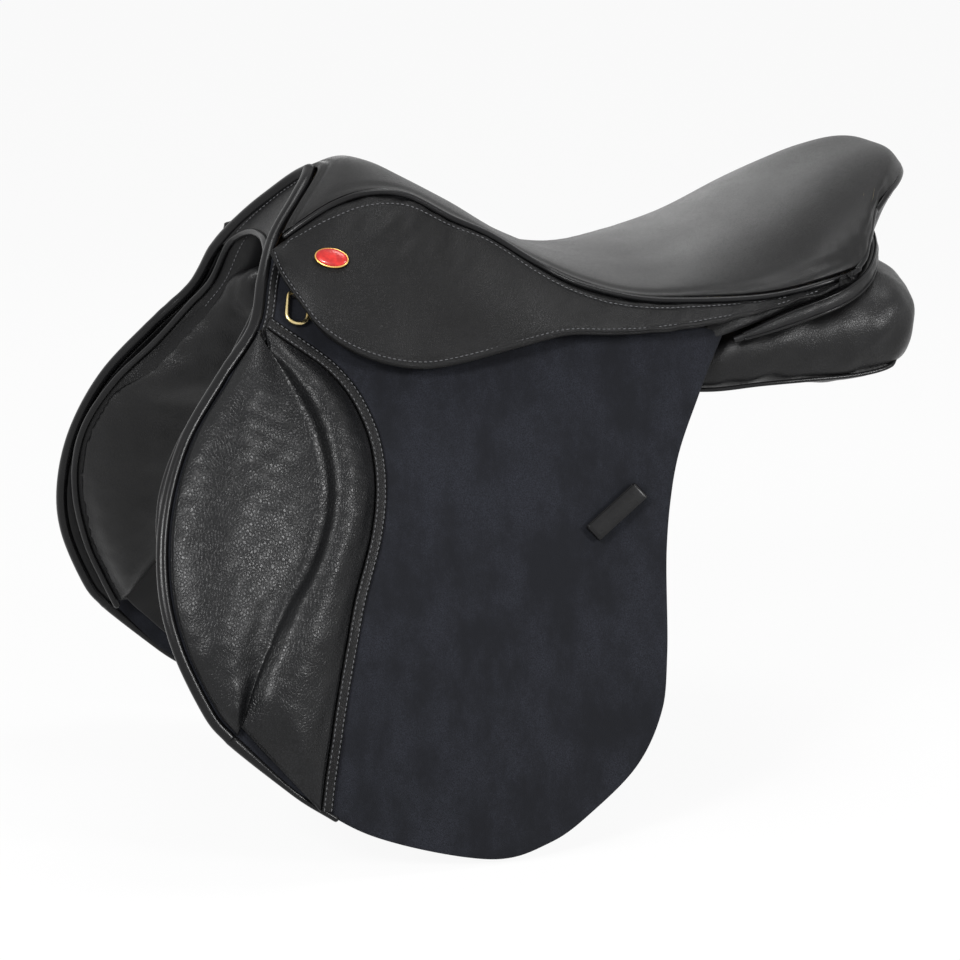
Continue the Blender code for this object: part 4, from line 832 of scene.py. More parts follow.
def buildSeat():
    s = seatPiece
    places = seatStart + (lastSeat - seatStart) * np.linspace(0, 1, s["rows"])
    across = np.sin(np.pi * (np.linspace(0, 1, s["columns"]) - 0.5))
    p, v = np.meshgrid(places, across, indexing="ij")
    surface, normal = seatSurface(p, v), seatNormal(p, v)
    surface = surface + normal * seatRelief(p, v, surface)[..., None]
    seat = fitted("seat_leather", gridSheet(surface, seatLeather, normal), "seat", "grained_leather", "saddle",
                  "seat_cover")

    depth = seatLeather + s["foamGap"]
    p, v = np.meshgrid(places[14:-14], across[12:-12], indexing="ij")
    normal = seatNormal(p, v)
    surface = seatPoint(p, v, np.full(p.shape, depth)) - normal * 0.0002
    foam = fitted("seat_cushion", gridSheet(surface, s["foam"], normal, 4), "foam", "foam", "saddle", "seat_foam")

    for name, grid, normals in seatWebs(depth + 0.007 + 0.0012):
        rows, columns = grid.shape[:2]
        steps = [np.linalg.norm(np.diff(grid, axis=axis), axis=-1).mean() for axis in (0, 1)]
        i, j = np.divmod(np.arange(rows * columns), columns)
        chart = np.stack([i * steps[0], j * steps[1]], axis=1)
        rim = chart[gridRim(rows, columns)]
        fitted("seat_band_" + name, gridSheet(grid, s["web"], normals), "web", "webbing", "saddle",
               "seat_web_" + name, uv=np.vstack([chart, chart, rim, rim, rim]))


buildSeat()
print("seat")

# welts round the seat, with a strip that hides foam and wood under the side ones
weltPiece = {"first": 0.45, "corner": 12.95, "segments": 12, "strip": 0.0009, "stripDrop": (0.0, -0.0022, -0.0075),
             "rearOffset": (-0.0016, 0.0, -0.0023), "rearThicker": 0.0003}


def cantleRim(start, count):
    # the seat's edge round the cantle, from the near side to the off side
    half = splineAt(seatEdge, start + (lastSeat - start) * np.arange(7) / 7) * mm
    half = np.vstack([half, seatSurface(float(lastSeat), 1.0 - np.arange(9) / 8)])
    return splineRow(np.vstack([flipSide(half, -1), half[-2::-1]]), count)


def buildSideWelt(name, sign):
    w = weltPiece
    line = weltPoint(np.linspace(w["first"], w["corner"], 220))
    fitted("seat_piping_" + name, sweepTube(flipSide(line, sign), weltRadius, w["segments"]), "roll",
           "smooth_leather", "saddle", "seat_welt_" + name)
    wall = line[4:, None] + np.linspace(0, 1, 6)[None, :, None] * np.array(w["stripDrop"])
    fitted("welt_lining_" + name, gridSheet(wall, w["strip"], facingAlong(wall, 1)), "smooth", "smooth_leather",
           "saddle", sign=sign)


def buildRearWelt():
    w = weltPiece
    line = cantleRim(w["corner"], 200) + np.array(w["rearOffset"])
    fitted("cantle_piping", sweepTube(line, weltRadius + w["rearThicker"], w["segments"]), "roll", "smooth_leather",
           "saddle", "cantle_welt")


onEachSide("side welts", buildSideWelt)
buildRearWelt()

# back of the cantle and its roll
cantlePiece = {"leather": 0.002, "swell": 0.0012, "rollHigh": 0.012, "rollDeep": 0.009, "pipe": 0.0011,
               "wrinkle": 0.035, "count": 260}


def cantleFoot(y):
    # lower edge of the leather behind the cantle
    share = np.abs(y) / 0.125
    return np.stack([0.180 - 0.036 * share ** 2.2, y * 0.97, 0.0688 - 0.012 * share ** 2], axis=-1)


def buildCantle():
    c = cantlePiece
    rim = cantleRim(14.1, 150)
    t = np.linspace(0, 1, 22)
    grid = between(rim + np.array([-0.0025, 0.0, -0.0054]), cantleFoot(rim[:, 1]), t)
    normals = facingAlong(grid, 0)
    swell = c["swell"] * np.sin(np.pi * t)[None] + 0.00015 * ripple(grid, 0.03, 8)
    grid = grid + normals * swell[..., None]
    fitted("cantle_leather", gridSheet(grid, c["leather"], normals), "smooth", "grained_leather", "saddle",
           "cantle_facing")
    facing = normals[3:-3, 3]
    stitched("cantle_stitches", [(grid[3:-3, 3] + facing * 0.0003, facing)], "saddle")

    line = splineRow(mirrored(np.array(cantleRollLine[::-1], float) * mm), c["count"])
    run = unit(np.gradient(line, axis=0))
    out = unit(np.cross(run, [0.0, 0.0, 1.0]))
    up = np.cross(out, run)
    place = np.arange(c["count"])
    taper = 0.35 + 0.65 * smoothStep(np.minimum(place, place[::-1]) / place[-1] * 6.5)
    deep, high = c["rollDeep"] / 2 * taper, c["rollHigh"] / 2 * taper
    turn = 2 * np.pi * np.arange(28) / 28
    wide = deep * (1 + c["wrinkle"] * ripple(line, 0.012, 12))
    rings = line[:, None] + out[:, None] * (wide[:, None] * np.cos(turn)[None])[..., None]
    rings = rings + up[:, None] * (high[:, None] * np.sin(turn)[None])[..., None]
    roll = fitted("cantle_bolster", loftRings(rings), "panel", "grained_leather", "saddle", "cantle_roll")
    for name, degrees in (("upper", 55), ("lower", -38)):
        a = math.radians(degrees)
        path = line + out * (deep * math.cos(a))[:, None] + up * (high * math.sin(a))[:, None]
        fitted("cantle_bolster_piping_" + name, sweepTube(path[8:-8], c["pipe"], 10), "roll", "smooth_leather",
               "saddle")


buildCantle()
print("cantle")

# skirts
skirtPiece = {"rows": 230, "columns": 44, "bead": 0.0013, "beadWidth": 0.0017, "groove": 0.0007, "seamBead": 0.0005,
              "lowerSeam": 0.0047, "wrinkle": 0.0007, "soft": 0.0003, "sink": 0.00015}
# the upper seam, as a place along the skirt and a share of the way down it
upperSeam = [(0.35, 0.5), (1.2, 0.09), (2.67, 0.075), (3.67, 0.075), (4.47, 0.06), (5.4, 0.05), (6.2, 0.04),
             (7.8, 0.03), (8.4, 0.045), (9.2, 0.125), (9.8, 0.15), (10.27, 0.2), (11.0, 0.17), (11.73, 0.15),
             (12.2, 0.12), (12.6, 0.08), (13.4, 0.05)]


def skirtGrid(place, t):
    # the skirt's outer face before its relief
    return skirtSurface(place, t, skirtLeather)


def skirtNormals(place, t):
    last = float(len(skirtEdge) - 1)
    ahead = skirtGrid(np.minimum(place + 0.05, last), t) - skirtGrid(np.maximum(place - 0.05, 0.0), t)
    down = skirtGrid(place, np.minimum(t + 0.01, 1.0)) - skirtGrid(place, np.maximum(t - 0.01, 0.0))
    normal = unit(np.cross(down, ahead))
    return normal * np.sign(normal @ np.array(skirtOut) + 1e-9)[..., None]


def skirtDrop(place):
    return np.linalg.norm(skirtGrid(place, np.ones_like(place)) - skirtGrid(place, np.zeros_like(place)), axis=-1)


def skirtRelief(p, t, surface):
    # a bead along the lower edge, grooves at both seams, and creases where the leather bends
    s = skirtPiece
    drop = skirtDrop(p[:, :1])
    edge, upper = (1 - t) * drop, (t - np.interp(p, *np.array(upperSeam).T)) * drop
    low = smoothStep((drop - 0.012) / 0.02)
    high = smoothStep((p - 0.6) / 0.8) * smoothStep((13.7 - p) / 0.8)
    lift = s["bead"] * bell(edge - 0.0018, s["beadWidth"]) * low
    lift = lift - s["groove"] * bell(edge - s["lowerSeam"], 0.0009) * low - s["groove"] * bell(upper, 0.0011) * high
    lift = lift + s["seamBead"] * bell(upper + 0.0022, 0.0018) * high
    skew = surface @ np.array([[1.0, 0.3, 0.9], [0.0, 0.2, 0.0], [-0.9, 0.3, 1.0]])
    creases = ripple(skew * np.array([2.6, 1.0, 0.5]), 0.030, 21)
    where = bell(p - 5.6, 1.7) * smoothStep((0.55 - t) / 0.4) + smoothStep((p - 9.5) / 3) * 0.9
    return lift + s["wrinkle"] * creases * where + s["soft"] * ripple(surface, 0.06, 22)


def buildSkirt(name, sign):
    s = skirtPiece
    p, t = np.meshgrid(np.linspace(0, 16, s["rows"]), np.linspace(0, 1, s["columns"]) ** 0.85, indexing="ij")
    surface, normal = skirtGrid(p, t), skirtNormals(p, t)
    surface = surface + normal * skirtRelief(p, t, surface)[..., None]
    fitted("skirt_leather_" + name, gridSheet(surface, skirtLeather * 0.96, normal), "skirt", "grained_leather",
           ("skirt", name), "skirt_" + name, "skirt_top_" + name, sign=sign)
    lower, upper = np.linspace(0.25, 14.6, 420), np.linspace(0.75, 13.4, 420)
    rows = []
    for q, share in ((lower, 1 - s["lowerSeam"] / skirtDrop(lower)),
                     (upper, np.interp(upper, *np.array(upperSeam).T))):
        rows.append((skirtGrid(q, share) - skirtNormals(q, share) * s["sink"], skirtNormals(q, share)))
    stitched("skirt_stitches_" + name, rows, ("skirt", name), sign)


onEachSide("skirts", buildSkirt)

# badges, left bare
badgePiece = {"place": 3.4, "share": 0.405, "long": 0.0112, "high": 0.0072, "rim": 0.00085,
              "dome": [(0.2, 0.0), (0.98, 0.0), (1.01, 0.0014), (0.99, 0.0019), (0.9, 0.00245), (0.68, 0.0029),
                       (0.4, 0.0031), (0.15, 0.0032)]}


def buildBadge(name, sign):
    b = badgePiece
    place, t = np.array(b["place"]), np.array(b["share"])
    centre = skirtSurface(place, t, skirtLeather + 0.0008)
    back = skirtSurface(place + 0.4, t) - skirtSurface(place - 0.4, t)
    down = skirtSurface(place, t + 0.1) - skirtSurface(place, t - 0.1)
    out = unit(np.cross(back, down))
    out = out if out[1] > 0 else -out
    longWay = np.array([1.0, 0.30, -0.28])
    longWay = unit(longWay - out * (longWay @ out))
    a = 2 * np.pi * np.arange(72)[:, None] / 72
    oval = longWay * (b["long"] - b["rim"]) * np.cos(a) + np.cross(out, longWay) * (b["high"] - b["rim"]) * np.sin(a)
    rim = sweepTube(flipSide(centre + oval + out * b["rim"], sign), b["rim"], 12, closed=True)
    fitted("badge_rim_" + name, rim, "gold", "brass", "saddle")
    rings = [flipSide(centre + oval * size + out * height, sign) for size, height in b["dome"]]
    fitted("badge_enamel_" + name, loftRings(rings), "enamel", "enamel", "saddle", "badge_" + name)


onEachSide("badges", buildBadge)

# flaps
flapPiece = {"outline": 300, "rings": 44, "tuck": 0.0026, "soft": 0.0005, "centre": (0.62, 0.35)}


def flapOutline():
    front = splineRow(inset(flapPlace(flapFront), flapPiece["tuck"]), 80)
    lower = splineRow(flapPlace(flapLower[1:]), 160)
    return evenly(np.vstack([front, lower, flapPlace(flapUpper[1:-1])]), flapPiece["outline"])


def flapRelief(top, flat):
    # lies a little wavy towards its free edge
    wave = flapPiece["soft"] * ripple(top * np.array([1.0, 0.4, 0.7]), 0.11, 31)
    return wave * smoothStep((0.02 - flat[:, 1]) / 0.05)


def buildFlap(name, sign):
    leather = flapFrame["leather"]
    sheet = starSheet(flapOutline(), flapPlace(flapPiece["centre"]), flapPiece["rings"], leather, leather, flapRelief)
    fitted("flap_leather_" + name, sheet, "flap", "flap_leather", ("flap", name), "flap_" + name, "flap_top_" + name,
           sign=sign)


onEachSide("flaps", buildFlap)

# roll round the front of the head and down each flap's front edge
rollPiece = {"headRadius": 0.0044, "radius": 0.0039, "segments": 18, "join": 3.1, "footThinner": 0.0019,
             "foot": [flapFront[-1], (0.806, 0.820), (0.735, 0.882)]}


def frontRollLine():
    # from the middle of the head down the off flap's front edge
    return np.vstack([np.array(headRollLine, float) * mm,
                      onSide(flapPlace(flapFront[2:]), flapFrame["leather"] / 2)[0]])


def buildHeadRoll():
    r = rollPiece
    whole = mirrored(splineAt(frontRollLine(), np.linspace(0, r["join"], 90)))
    place = np.arange(len(whole))
    radius = r["radius"] + (r["headRadius"] - r["radius"]) * smoothStep(np.minimum(place, place[::-1]) / 30.0)
    radius = radius * (1 + 0.02 * ripple(whole, 0.02, 41))
    fitted("head_piping", sweepTube(whole, radius, r["segments"]), "roll", "smooth_leather", "saddle", "head_roll")


def buildFlapRoll(name, sign):
    r = rollPiece
    line = frontRollLine()
    lower = splineAt(line, np.linspace(r["join"] - 0.12, len(line) - 1, 300))
    foot = onSide(splineRow(flapPlace(r["foot"]), 70)[1:], flapFrame["leather"] / 2 + 0.0006)[0]
    pinch = ripple(lower, 0.0085, 43) * bell(np.linspace(0, 1, 300) - 0.24, 0.10)
    radius = r["radius"] * (1 + 0.05 * pinch)
    radius[:6] *= np.linspace(0.9, 1.0, 6)
    thinner = r["footThinner"] * smoothStep(np.linspace(0.02, 1, len(foot)) * 2)
    tube = sweepTube(flipSide(np.vstack([lower, foot]), sign), np.r_[radius, r["radius"] - thinner], r["segments"])
    fitted("flap_piping_" + name, tube, "roll", "smooth_leather", ("flap", name), "flap_roll_" + name)


buildHeadRoll()
onEachSide("front roll", buildFlapRoll)

# knee pads, the stitched strip behind each, and the strip at the flap's top
padPiece = {"rows": 150, "columns": 72, "height": 0.017, "edge": 0.0028, "base": 0.0042, "tumble": 0.00035,
            "strip": 0.008, "stripLeather": 0.0019, "stripSeams": (0.25, 0.84)}
topStripPiece = {"run": (0.2, 2.55), "wide": 0.0056, "leather": 0.0012, "proud": 0.0013, "seams": (0.14, 0.8)}
# share of the way from the pad's front to its crease, or past 1 on to its rear, and share of its height
padSection = [(0.0, 0.0), (0.04, 0.20), (0.10, 0.40), (0.19, 0.57), (0.31, 0.66), (0.44, 0.62), (0.58, 0.46),
              (0.72, 0.28), (0.85, 0.18), (0.96, 0.21), (1.04, 0.58), (1.12, 0.88), (1.26, 1.0), (1.48, 0.95),
              (1.72, 0.62), (1.88, 0.28), (2.0, 0.0)]


def padLines(count):
    # the knee pad's front, crease and rear
    front = inset(flapPlace(flapFront[2:]), frontRollRadius + 0.0004)
    t = np.linspace(0, 1, count)
    return [splineAt(line, t * (len(line) - 1)) for line in (front, flapPlace(padCrease), flapPlace(padRear))]


def layStrip(label, name, near, wide, depth, leather, crown, seams, *nodes):
    # a strip along a line on the flap, with a row of stitches at each share of its width
    far = inset(near, wide)
    top, normal = onSide(between(near, far, np.linspace(0, 1, len(crown))), depth)
    sheet = gridSheet(top + normal * crown[None, :, None], leather, normal)
    fitted(label + "_strip_" + name, sheet, "skirt", "grained_leather", ("flap", name), *nodes, sign=sides[name])
    rows = [onSide(near[1:-1] * (1 - share) + far[1:-1] * share, depth) for share in seams]
    stitched(label + "_stitches_" + name, rows, ("flap", name), sides[name])


def buildKneePad(name, sign):
    k = padPiece
    front, crease, rear = padLines(k["rows"])
    section = splineRow(padSection, k["columns"])
    shares, heights = np.maximum.accumulate(np.clip(section[:, 0], 0, 2)), np.maximum(section[:, 1], 0.0)[None]
    first, second = np.clip(shares, 0, 1)[None, :, None], np.clip(shares - 1, 0, 1)[None, :, None]
    flat = front[:, None] + (crease - front)[:, None] * first + (rear - crease)[:, None] * second
    t = np.linspace(0, 1, k["rows"])[:, None]
    fade = smoothStep(t / 0.20) ** 0.6 * smoothStep((1 - t) / 0.13) ** 0.6
    base, normal = onSide(flat)
    tumble = ripple(base * np.array([1.0, 1.0, 1.3]), 0.016, 51) * k["tumble"] * np.minimum(1, heights * 3) * fade
    height = k["edge"] + (k["height"] - k["edge"]) * heights * fade + tumble
    pad = fitted("knee_block_" + name, gridSheet(base + normal * (k["base"] + height)[..., None], height, normal),
                 "pad", "grained_leather", ("flap", name), "knee_pad_" + name, sign=sign)

    u = np.linspace(0, 1, 12)
    crown = 0.0004 * np.sin(np.pi * u) - 0.0003 * sum(bell(u - seam, 0.06) for seam in k["stripSeams"])
    layStrip("knee_block", name, inset(rear, 0.0004), k["strip"], k["base"] - 0.0006 + k["stripLeather"],
             k["stripLeather"], crown, k["stripSeams"], "knee_strip_" + name)


def buildTopStrip(name, sign):
    # behind the roll, from under the skirt down to the pad
    s = topStripPiece
    near = splineAt(inset(flapPlace(flapFront), frontRollRadius + 0.0008), np.linspace(*s["run"], 60))
    crown = -0.0003 * bell(np.linspace(0, 1, 9) - 0.8, 0.1)
    layStrip("flap_top", name, near, s["wide"], flapFrame["leather"] + s["proud"], s["leather"], crown, s["seams"])


onEachSide("knee pads", buildKneePad, buildTopStrip)

# keepers for the strap's end
keeperPiece = {"corners": [(0.265, 0.348), (0.244, 0.377), (0.152, 0.294), (0.173, 0.265)], "leather": 0.0017,
               "hollow": 0.0045, "corner": 0.0021, "gap": 0.0003, "count": 120}


def roundedLoop(long, high, corner, steps=6):
    points = []
    for cx, cy, first in ((corner, high - corner, 180), (long - corner, high - corner, 90),
                          (long - corner, corner, 0), (corner, corner, -90)):
        for k in range(steps + 1):
            a = math.radians(first - 90 * k / steps)
            points.append((cx + corner * math.cos(a), cy + corner * math.sin(a)))
    return np.array(points)


def buildKeeper(name, sign):
    k = keeperPiece
    corners = onSide(flapPlace(k["corners"]), flapFrame["leather"] + k["gap"])[0]
    longWay, shortWay = corners[3] - corners[0], corners[1] - corners[0]
    out = unit(np.cross(longWay, shortWay))
    out = out if out[1] > 0 else -out
    length, wide = np.linalg.norm(longWay), np.linalg.norm(shortWay)
    outer = evenly(roundedLoop(length, k["hollow"] + k["leather"], k["corner"]), k["count"])
    run = unit(np.roll(outer, -1, axis=0) - np.roll(outer, 1, axis=0))
    inwards = np.stack([run[:, 1], -run[:, 0]], axis=1)
    inwards = inwards * np.sign(np.sum(inwards * (outer.mean(axis=0) - outer)))
    r = k["leather"] / 2
    rings = []
    for centre, base in ((wide - r * 0.9, 0.0), (r * 0.9, math.pi)):
        for a in base + math.pi / 2 - math.pi * np.arange(7) / 6:
            loop = outer + inwards * (r - r * math.sin(a))
            edge = corners[0] + unit(shortWay) * (centre + r * 0.9 * math.cos(a))
            rings.append(edge + unit(longWay) * loop[:, :1] + out * loop[:, 1:])
    shape = loftRings(flipSide(np.array(rings).transpose(1, 0, 2), sign), closed=True)
    fitted("strap_keeper_" + name, shape, "roll", "smooth_leather", "flap_" + name, "keeper_" + name)


onEachSide("keepers", buildKeeper)

# dees
deePiece = {"place": (-0.232, 0.040), "wire": 0.0014, "width": 0.0139, "height": 0.0205, "turn": 14.0,
            "chape": 0.0018, "count": 90}


def turned(v, axis, degrees):
    a = math.radians(degrees)
    return v * math.cos(a) + np.cross(axis, v) * math.sin(a) + axis * (axis @ v) * (1 - math.cos(a))


def buildDee(name, sign):
    d = deePiece
    x, z = d["place"]
    centre = sidePoint(x, z, flapFrame["leather"] + d["chape"] + d["wire"])
    out = unit(sidePoint(x, z, 0.01) - sidePoint(x, z, 0.0))
    back = sidePoint(x + 0.01, z, 0.0) - sidePoint(x - 0.01, z, 0.0)
    back = turned(unit(back - out * (back @ out)), out, d["turn"])
    up = np.cross(out, back)
    up = up if up[2] > 0 else -up
    half = d["width"] / 2
    bow, corner = d["height"] - 0.85 * half, 0.25 * half
    points = [(-half + corner, 0), (-half / 3, 0), (half / 3, 0), (half - corner, 0),
              (half - corner * 0.3, -corner * 0.3), (half, -corner), (half, -bow * 0.6)]
    points += [(half * math.cos(a), -bow - half * math.sin(a) * 0.85) for a in np.pi * np.arange(13) / 12]
    points += [(-half, -bow * 0.6), (-half, -corner), (-half + corner * 0.3, -corner * 0.3)]
    loop = evenly(points, d["count"])
    for _ in range(3):
        loop = (np.roll(loop, 1, axis=0) + 2 * loop + np.roll(loop, -1, axis=0)) / 4
    line = centre + back * loop[:, :1] + up * loop[:, 1:]
    fitted("brass_dee_" + name, sweepTube(flipSide(line, sign), d["wire"], 14, closed=True), "brass", "brass",
           "dee_" + name, "dee_ring_" + name)


onEachSide("dees", buildDee)

# panels with their lobes: each station is a middle, half a width, half a height and a slope in degrees
panelStations = [(187, 84, 12, 12, 10, 10), (182, 84, 11, 30, 24, 14), (170, 83, 12, 43, 31, 17),
                 (150, 82, 10, 49, 35, 17), (120, 81, 7, 51, 33, 16), (80, 79, 1, 51, 28, 12),
                 (45, 75, -5, 49, 24, 12), (10, 69, -7, 44, 18, 15), (-35, 63, -6, 39, 14, 22),
                 (-80, 58, -2, 35, 12, 32), (-120, 51, 5, 31, 11, 41), (-155, 44, 11, 29, 10, 48),
                 (-190, 37, 18, 27, 9, 55), (-220, 32, 25, 25, 9, 59), (-238, 31, 28, 19, 8, 60),
                 (-246, 31, 29, 8, 3, 60)]
panelPiece = {"rings": 150, "segments": 56, "voxel": 0.0026, "smoothing": 5, "lobeEdge": 0.004, "lobeHeight": 0.020,
              "lobeRows": 70, "lobeColumns": 50, "lobeGap": 0.004, "lobeStep": 0.0113, "stepFoot": -0.045,
              "stepRise": 0.030, "border": 0.0078, "borderLeather": 0.0013,
              "bridge": [(-0.236, 0.029, 0.034), (-0.241, 0.040, 0.030), (-0.246, 0.047, 0.017),
                         (-0.255, 0.057, 0.001)],
              "bridgeFoot": [(-0.268, -0.012), (-0.288, -0.036)], "bridgeDepth": -0.0275,
              "seamCount": 130, "seamTuck": 14, "stitchEnd": 116, "stitchShare": 0.16}


def panelRings(count, segments):
    stations = splineRow(panelStations, count)
    turn = 2 * np.pi * np.arange(segments) / segments
    a, b = (np.copysign(np.abs(wave) ** 0.75, wave) for wave in (np.cos(turn), np.sin(turn)))
    slope = np.radians(stations[:, 5])
    zero = np.zeros_like(slope)
    down = np.stack([zero, np.cos(slope), -np.sin(slope)], axis=1)
    up = np.stack([zero, np.sin(slope), np.cos(slope)], axis=1)
    wide, high = stations[:, 3, None] * mm, stations[:, 4, None] * mm
    return stations[:, None, :3] * mm + down[:, None] * (wide * a)[..., None] + up[:, None] * (high * b)[..., None]


def lobeSkin(flat):
    # depth of a lobe's outer face, which steps inwards towards its top
    p = panelPiece
    return -strapSpace - p["lobeGap"] - p["lobeStep"] * smoothStep((flat[..., 1] - p["stepFoot"]) / p["stepRise"])


def lobeShape():
    p = panelPiece
    t = np.linspace(0, 1, p["lobeRows"])
    front = inset(flapPlace(panelFront), panelRollRadius + 0.0006)
    front, rear = (splineAt(line, t * (len(line) - 1)) for line in (front, flapPlace(lobeRear)))
    flat = between(front, rear, np.linspace(0, 1, p["lobeColumns"]))
    fade = smoothStep((1 - t) * 11 / 3.0) ** 0.5
    reach = np.linalg.norm(flat - flat[:, :1], axis=-1) - p["lobeEdge"]  # from the flat border inside the roll
    swell = np.sin(np.pi * np.clip(reach / np.maximum(reach[:, -1:], 0.001), 0, 1)) ** 0.6 * fade[:, None]
    base, normal = onSide(flat)
    return gridSheet(base + normal * lobeSkin(flat)[..., None], p["lobeEdge"] + p["lobeHeight"] * swell, normal)


def remeshed(name, parts, voxel, smoothing, look):
    # joins overlapping closed shapes into one skin
    verts, faces = [], []
    for v, f in parts:
        start = sum(len(w) for w in verts)
        faces += [[k + start for k in face] for face in f]
        verts.append(np.asarray(v, float))
    rough = makeObject(name + "_rough", np.vstack(verts), faces, look)
    skin = rough.modifiers.new("skin", "REMESH")
    skin.mode, skin.voxel_size = "VOXEL", voxel
    soft = rough.modifiers.new("soft", "SMOOTH")
    soft.factor, soft.iterations = 0.5, smoothing
    mesh = baked(name, rough)
    mesh.shade_smooth()
    mesh.materials.clear()
    mesh.materials.append(look)
    return placed(name, mesh)


def moved(piece, change):
    # moves a piece's points along their normals by a distance worked out from where they are
    verts = piece.data.vertices
    co, no = np.empty(len(verts) * 3), np.empty(len(verts) * 3)
    verts.foreach_get("co", co)
    verts.foreach_get("normal", no)
    co, no = co.reshape(-1, 3), no.reshape(-1, 3)
    verts.foreach_set("co", (co + no * change(co)[:, None]).ravel())
    piece.data.update()


def panelRelief(co):
    # wool behind the leather: soft lumps, and slanting folds at the rear of the outer side
    lumps = 0.0006 * ripple(co, 0.035, 61) + 0.0002 * ripple(co, 0.013, 62)
    skew = co @ np.array([[1.0, 0.0, 0.6], [0.0, 1.0, 0.0], [-0.6, 0.0, 1.0]])
    folds = 0.0009 * ripple(skew * np.array([3.2, 0.3, 0.6]), 0.050, 63)
    rear = smoothStep((co[:, 0] - 0.02) / 0.06) * smoothStep((np.abs(co[:, 1]) - 0.09) / 0.03)
    return lumps + folds * rear


def buildPanel(name, sign):
    p = panelPiece
    bridge = splineRow(np.vstack([p["bridge"], onSide(np.array(p["bridgeFoot"]), p["bridgeDepth"])[0]]), 40)
    shapes = (loftRings(panelRings(p["rings"], p["segments"])), lobeShape(),
              sweepTube(bridge, np.linspace(0.0095, 0.006, 40), 16))
    parts = [(flipSide(verts, sign), faces) for verts, faces in shapes]
    panel = remeshed("panel_pad_" + name, parts, p["voxel"], p["smoothing"], looks["panel"])
    moved(panel, panelRelief)
    settled(panel, "grained_leather", "saddle", "panel_" + name)


def buildPanelWelt(name, sign):
    # welt and whitish stitches along the outer seam, under the cantle
    p = panelPiece
    count, end, share = p["seamCount"], p["stitchEnd"], p["stitchShare"]
    rings = panelRings(18, 14)[8:1:-1]
    away = splineRow(unit(rings[:, -1] - rings.mean(axis=1)), count)
    tuck = smoothStep((count - 1 - np.arange(count)) / p["seamTuck"])
    seam = splineRow(rings[:, -1], count) + away * (0.0021 * tuck - 0.0035 * (1 - tuck))[:, None]
    fitted("panel_piping_" + name, sweepTube(flipSide(seam, sign), 0.0009 + 0.0006 * tuck, 12), "roll",
           "smooth_leather", "saddle", "panel_welt_" + name)
    rings = splineRow(rings.reshape(7, -1), count).reshape(count, 14, 3)[:end]
    line = rings[:, -1] * (1 - share) + rings[:, -2] * share
    facing = unit(line - rings.mean(axis=1))
    stitched("panel_stitches_" + name, [(line + facing * 0.0012, facing)], "saddle", sign, "pale", pitch=0.0042,
             length=0.0028)


def buildPanelBorder(name, sign):
    # stitched border that slants from the roll down to the lobe's face, on the side of the horse
    p = panelPiece
    front = splineRow(inset(flapPlace(panelFront), panelRollRadius - 0.0006), 150)[:-2]
    u = np.linspace(0, 1, 10)
    flat = between(front, inset(front, p["border"]), u)
    shallow = -strapSpace - panelRollRadius - 0.0008
    depth = shallow + (lobeSkin(flat) - p["lobeEdge"] - 0.0006 - shallow) * smoothStep(u)[None]
    base, normal = onSide(flat)
    inner = base + normal * depth[..., None]
    fitted("panel_border_" + name, gridSheet(inner, p["borderLeather"], -normal), "facing", "smooth_leather",
           "saddle", sign=sign)
    facing = -normal[2:-2, 6]
    stitched("panel_border_stitches_" + name, [(inner[2:-2, 6] + facing * 0.0002, facing)], "saddle", sign)


onEachSide("panels", buildPanel, buildPanelWelt, buildPanelBorder)

# head facing, the roll under it, the leather under the arch, the flaps' inner strips and the rear gussets
headPiece = {"columns": 170, "rows": 20, "leather": 0.002, "seam": 0.0052, "groove": 0.0004, "bead": 0.0005,
             "swell": 0.0006, "upperTuck": 0.0008, "lowerTuck": 0.0004, "rollCount": 520}
liningPiece = {"under": 0.0086, "half": 0.0165, "turnedIn": 0.007, "leather": 0.0012, "soft": 0.0003}
innerStripPiece = {"wide": 0.0105, "leather": 0.0013, "depth": -0.0012}
gussetPiece = {"leather": 0.0015, "swell": 0.0015, "soft": 0.0004, "lowOffset": (-0.006, -0.004, 0.0),
               "highOffset": (0.0, -0.006, -0.0065)}


def panelRollLine():
    # from the middle of the head down the off panel's front edge
    return np.vstack([np.array(headEdgeLine, float) * mm,
                      onSide(flapPlace(panelFront), -strapSpace - panelRollRadius)[0]])


def buildHead():
    h = headPiece
    share = np.linspace(-1, 1, h["columns"])
    rolls, edges = (mirrored(np.array(line, float) * mm) for line in (headRollLine, headEdgeLine))
    edge = splineAt(edges, (len(headEdgeLine) - 1) * (1 + share))
    place = (len(headRollLine) - 1) * (1 + 0.96 * share)
    roll = splineAt(rolls, place)
    run = unit(edge - roll)
    tangent = unit(splineAt(rolls, place + 0.05) - splineAt(rolls, place - 0.05))
    spread = 1 / np.sqrt(1 - np.sum(run * tangent, axis=1) ** 2)
    top = roll + run * ((frontRollRadius - h["upperTuck"]) * spread)[:, None]
    bottom = edge - run * (panelRollRadius - h["lowerTuck"])
    t = np.linspace(0, 1, h["rows"])
    grid = between(top, bottom, t)
    normals = -facingAlong(grid, 0)
    reach = t[None] * np.linalg.norm(bottom - top, axis=1)[:, None]
    lift = h["bead"] * bell(reach - 0.002, 0.0016) - h["groove"] * bell(reach - h["seam"], 0.0009)
    grid = grid + normals * (lift + h["swell"] * np.sin(np.pi * t)[None])[..., None]
    fitted("head_leather", gridSheet(grid, h["leather"], normals), "facing", "grained_leather", "saddle",
           "head_facing")
    facing = normals[3:-3, 6]
    stitched("head_stitches", [(top[3:-3] + run[3:-3] * h["seam"] + facing * 0.0004, facing)], "saddle")

    line = splineRow(mirrored(panelRollLine()), h["rollCount"])
    radius = panelRollRadius * (1 + 0.02 * ripple(line, 0.012, 71))
    fitted("panel_front_piping", sweepTube(line, radius, 14), "roll", "smooth_leather", "saddle", "panel_roll")


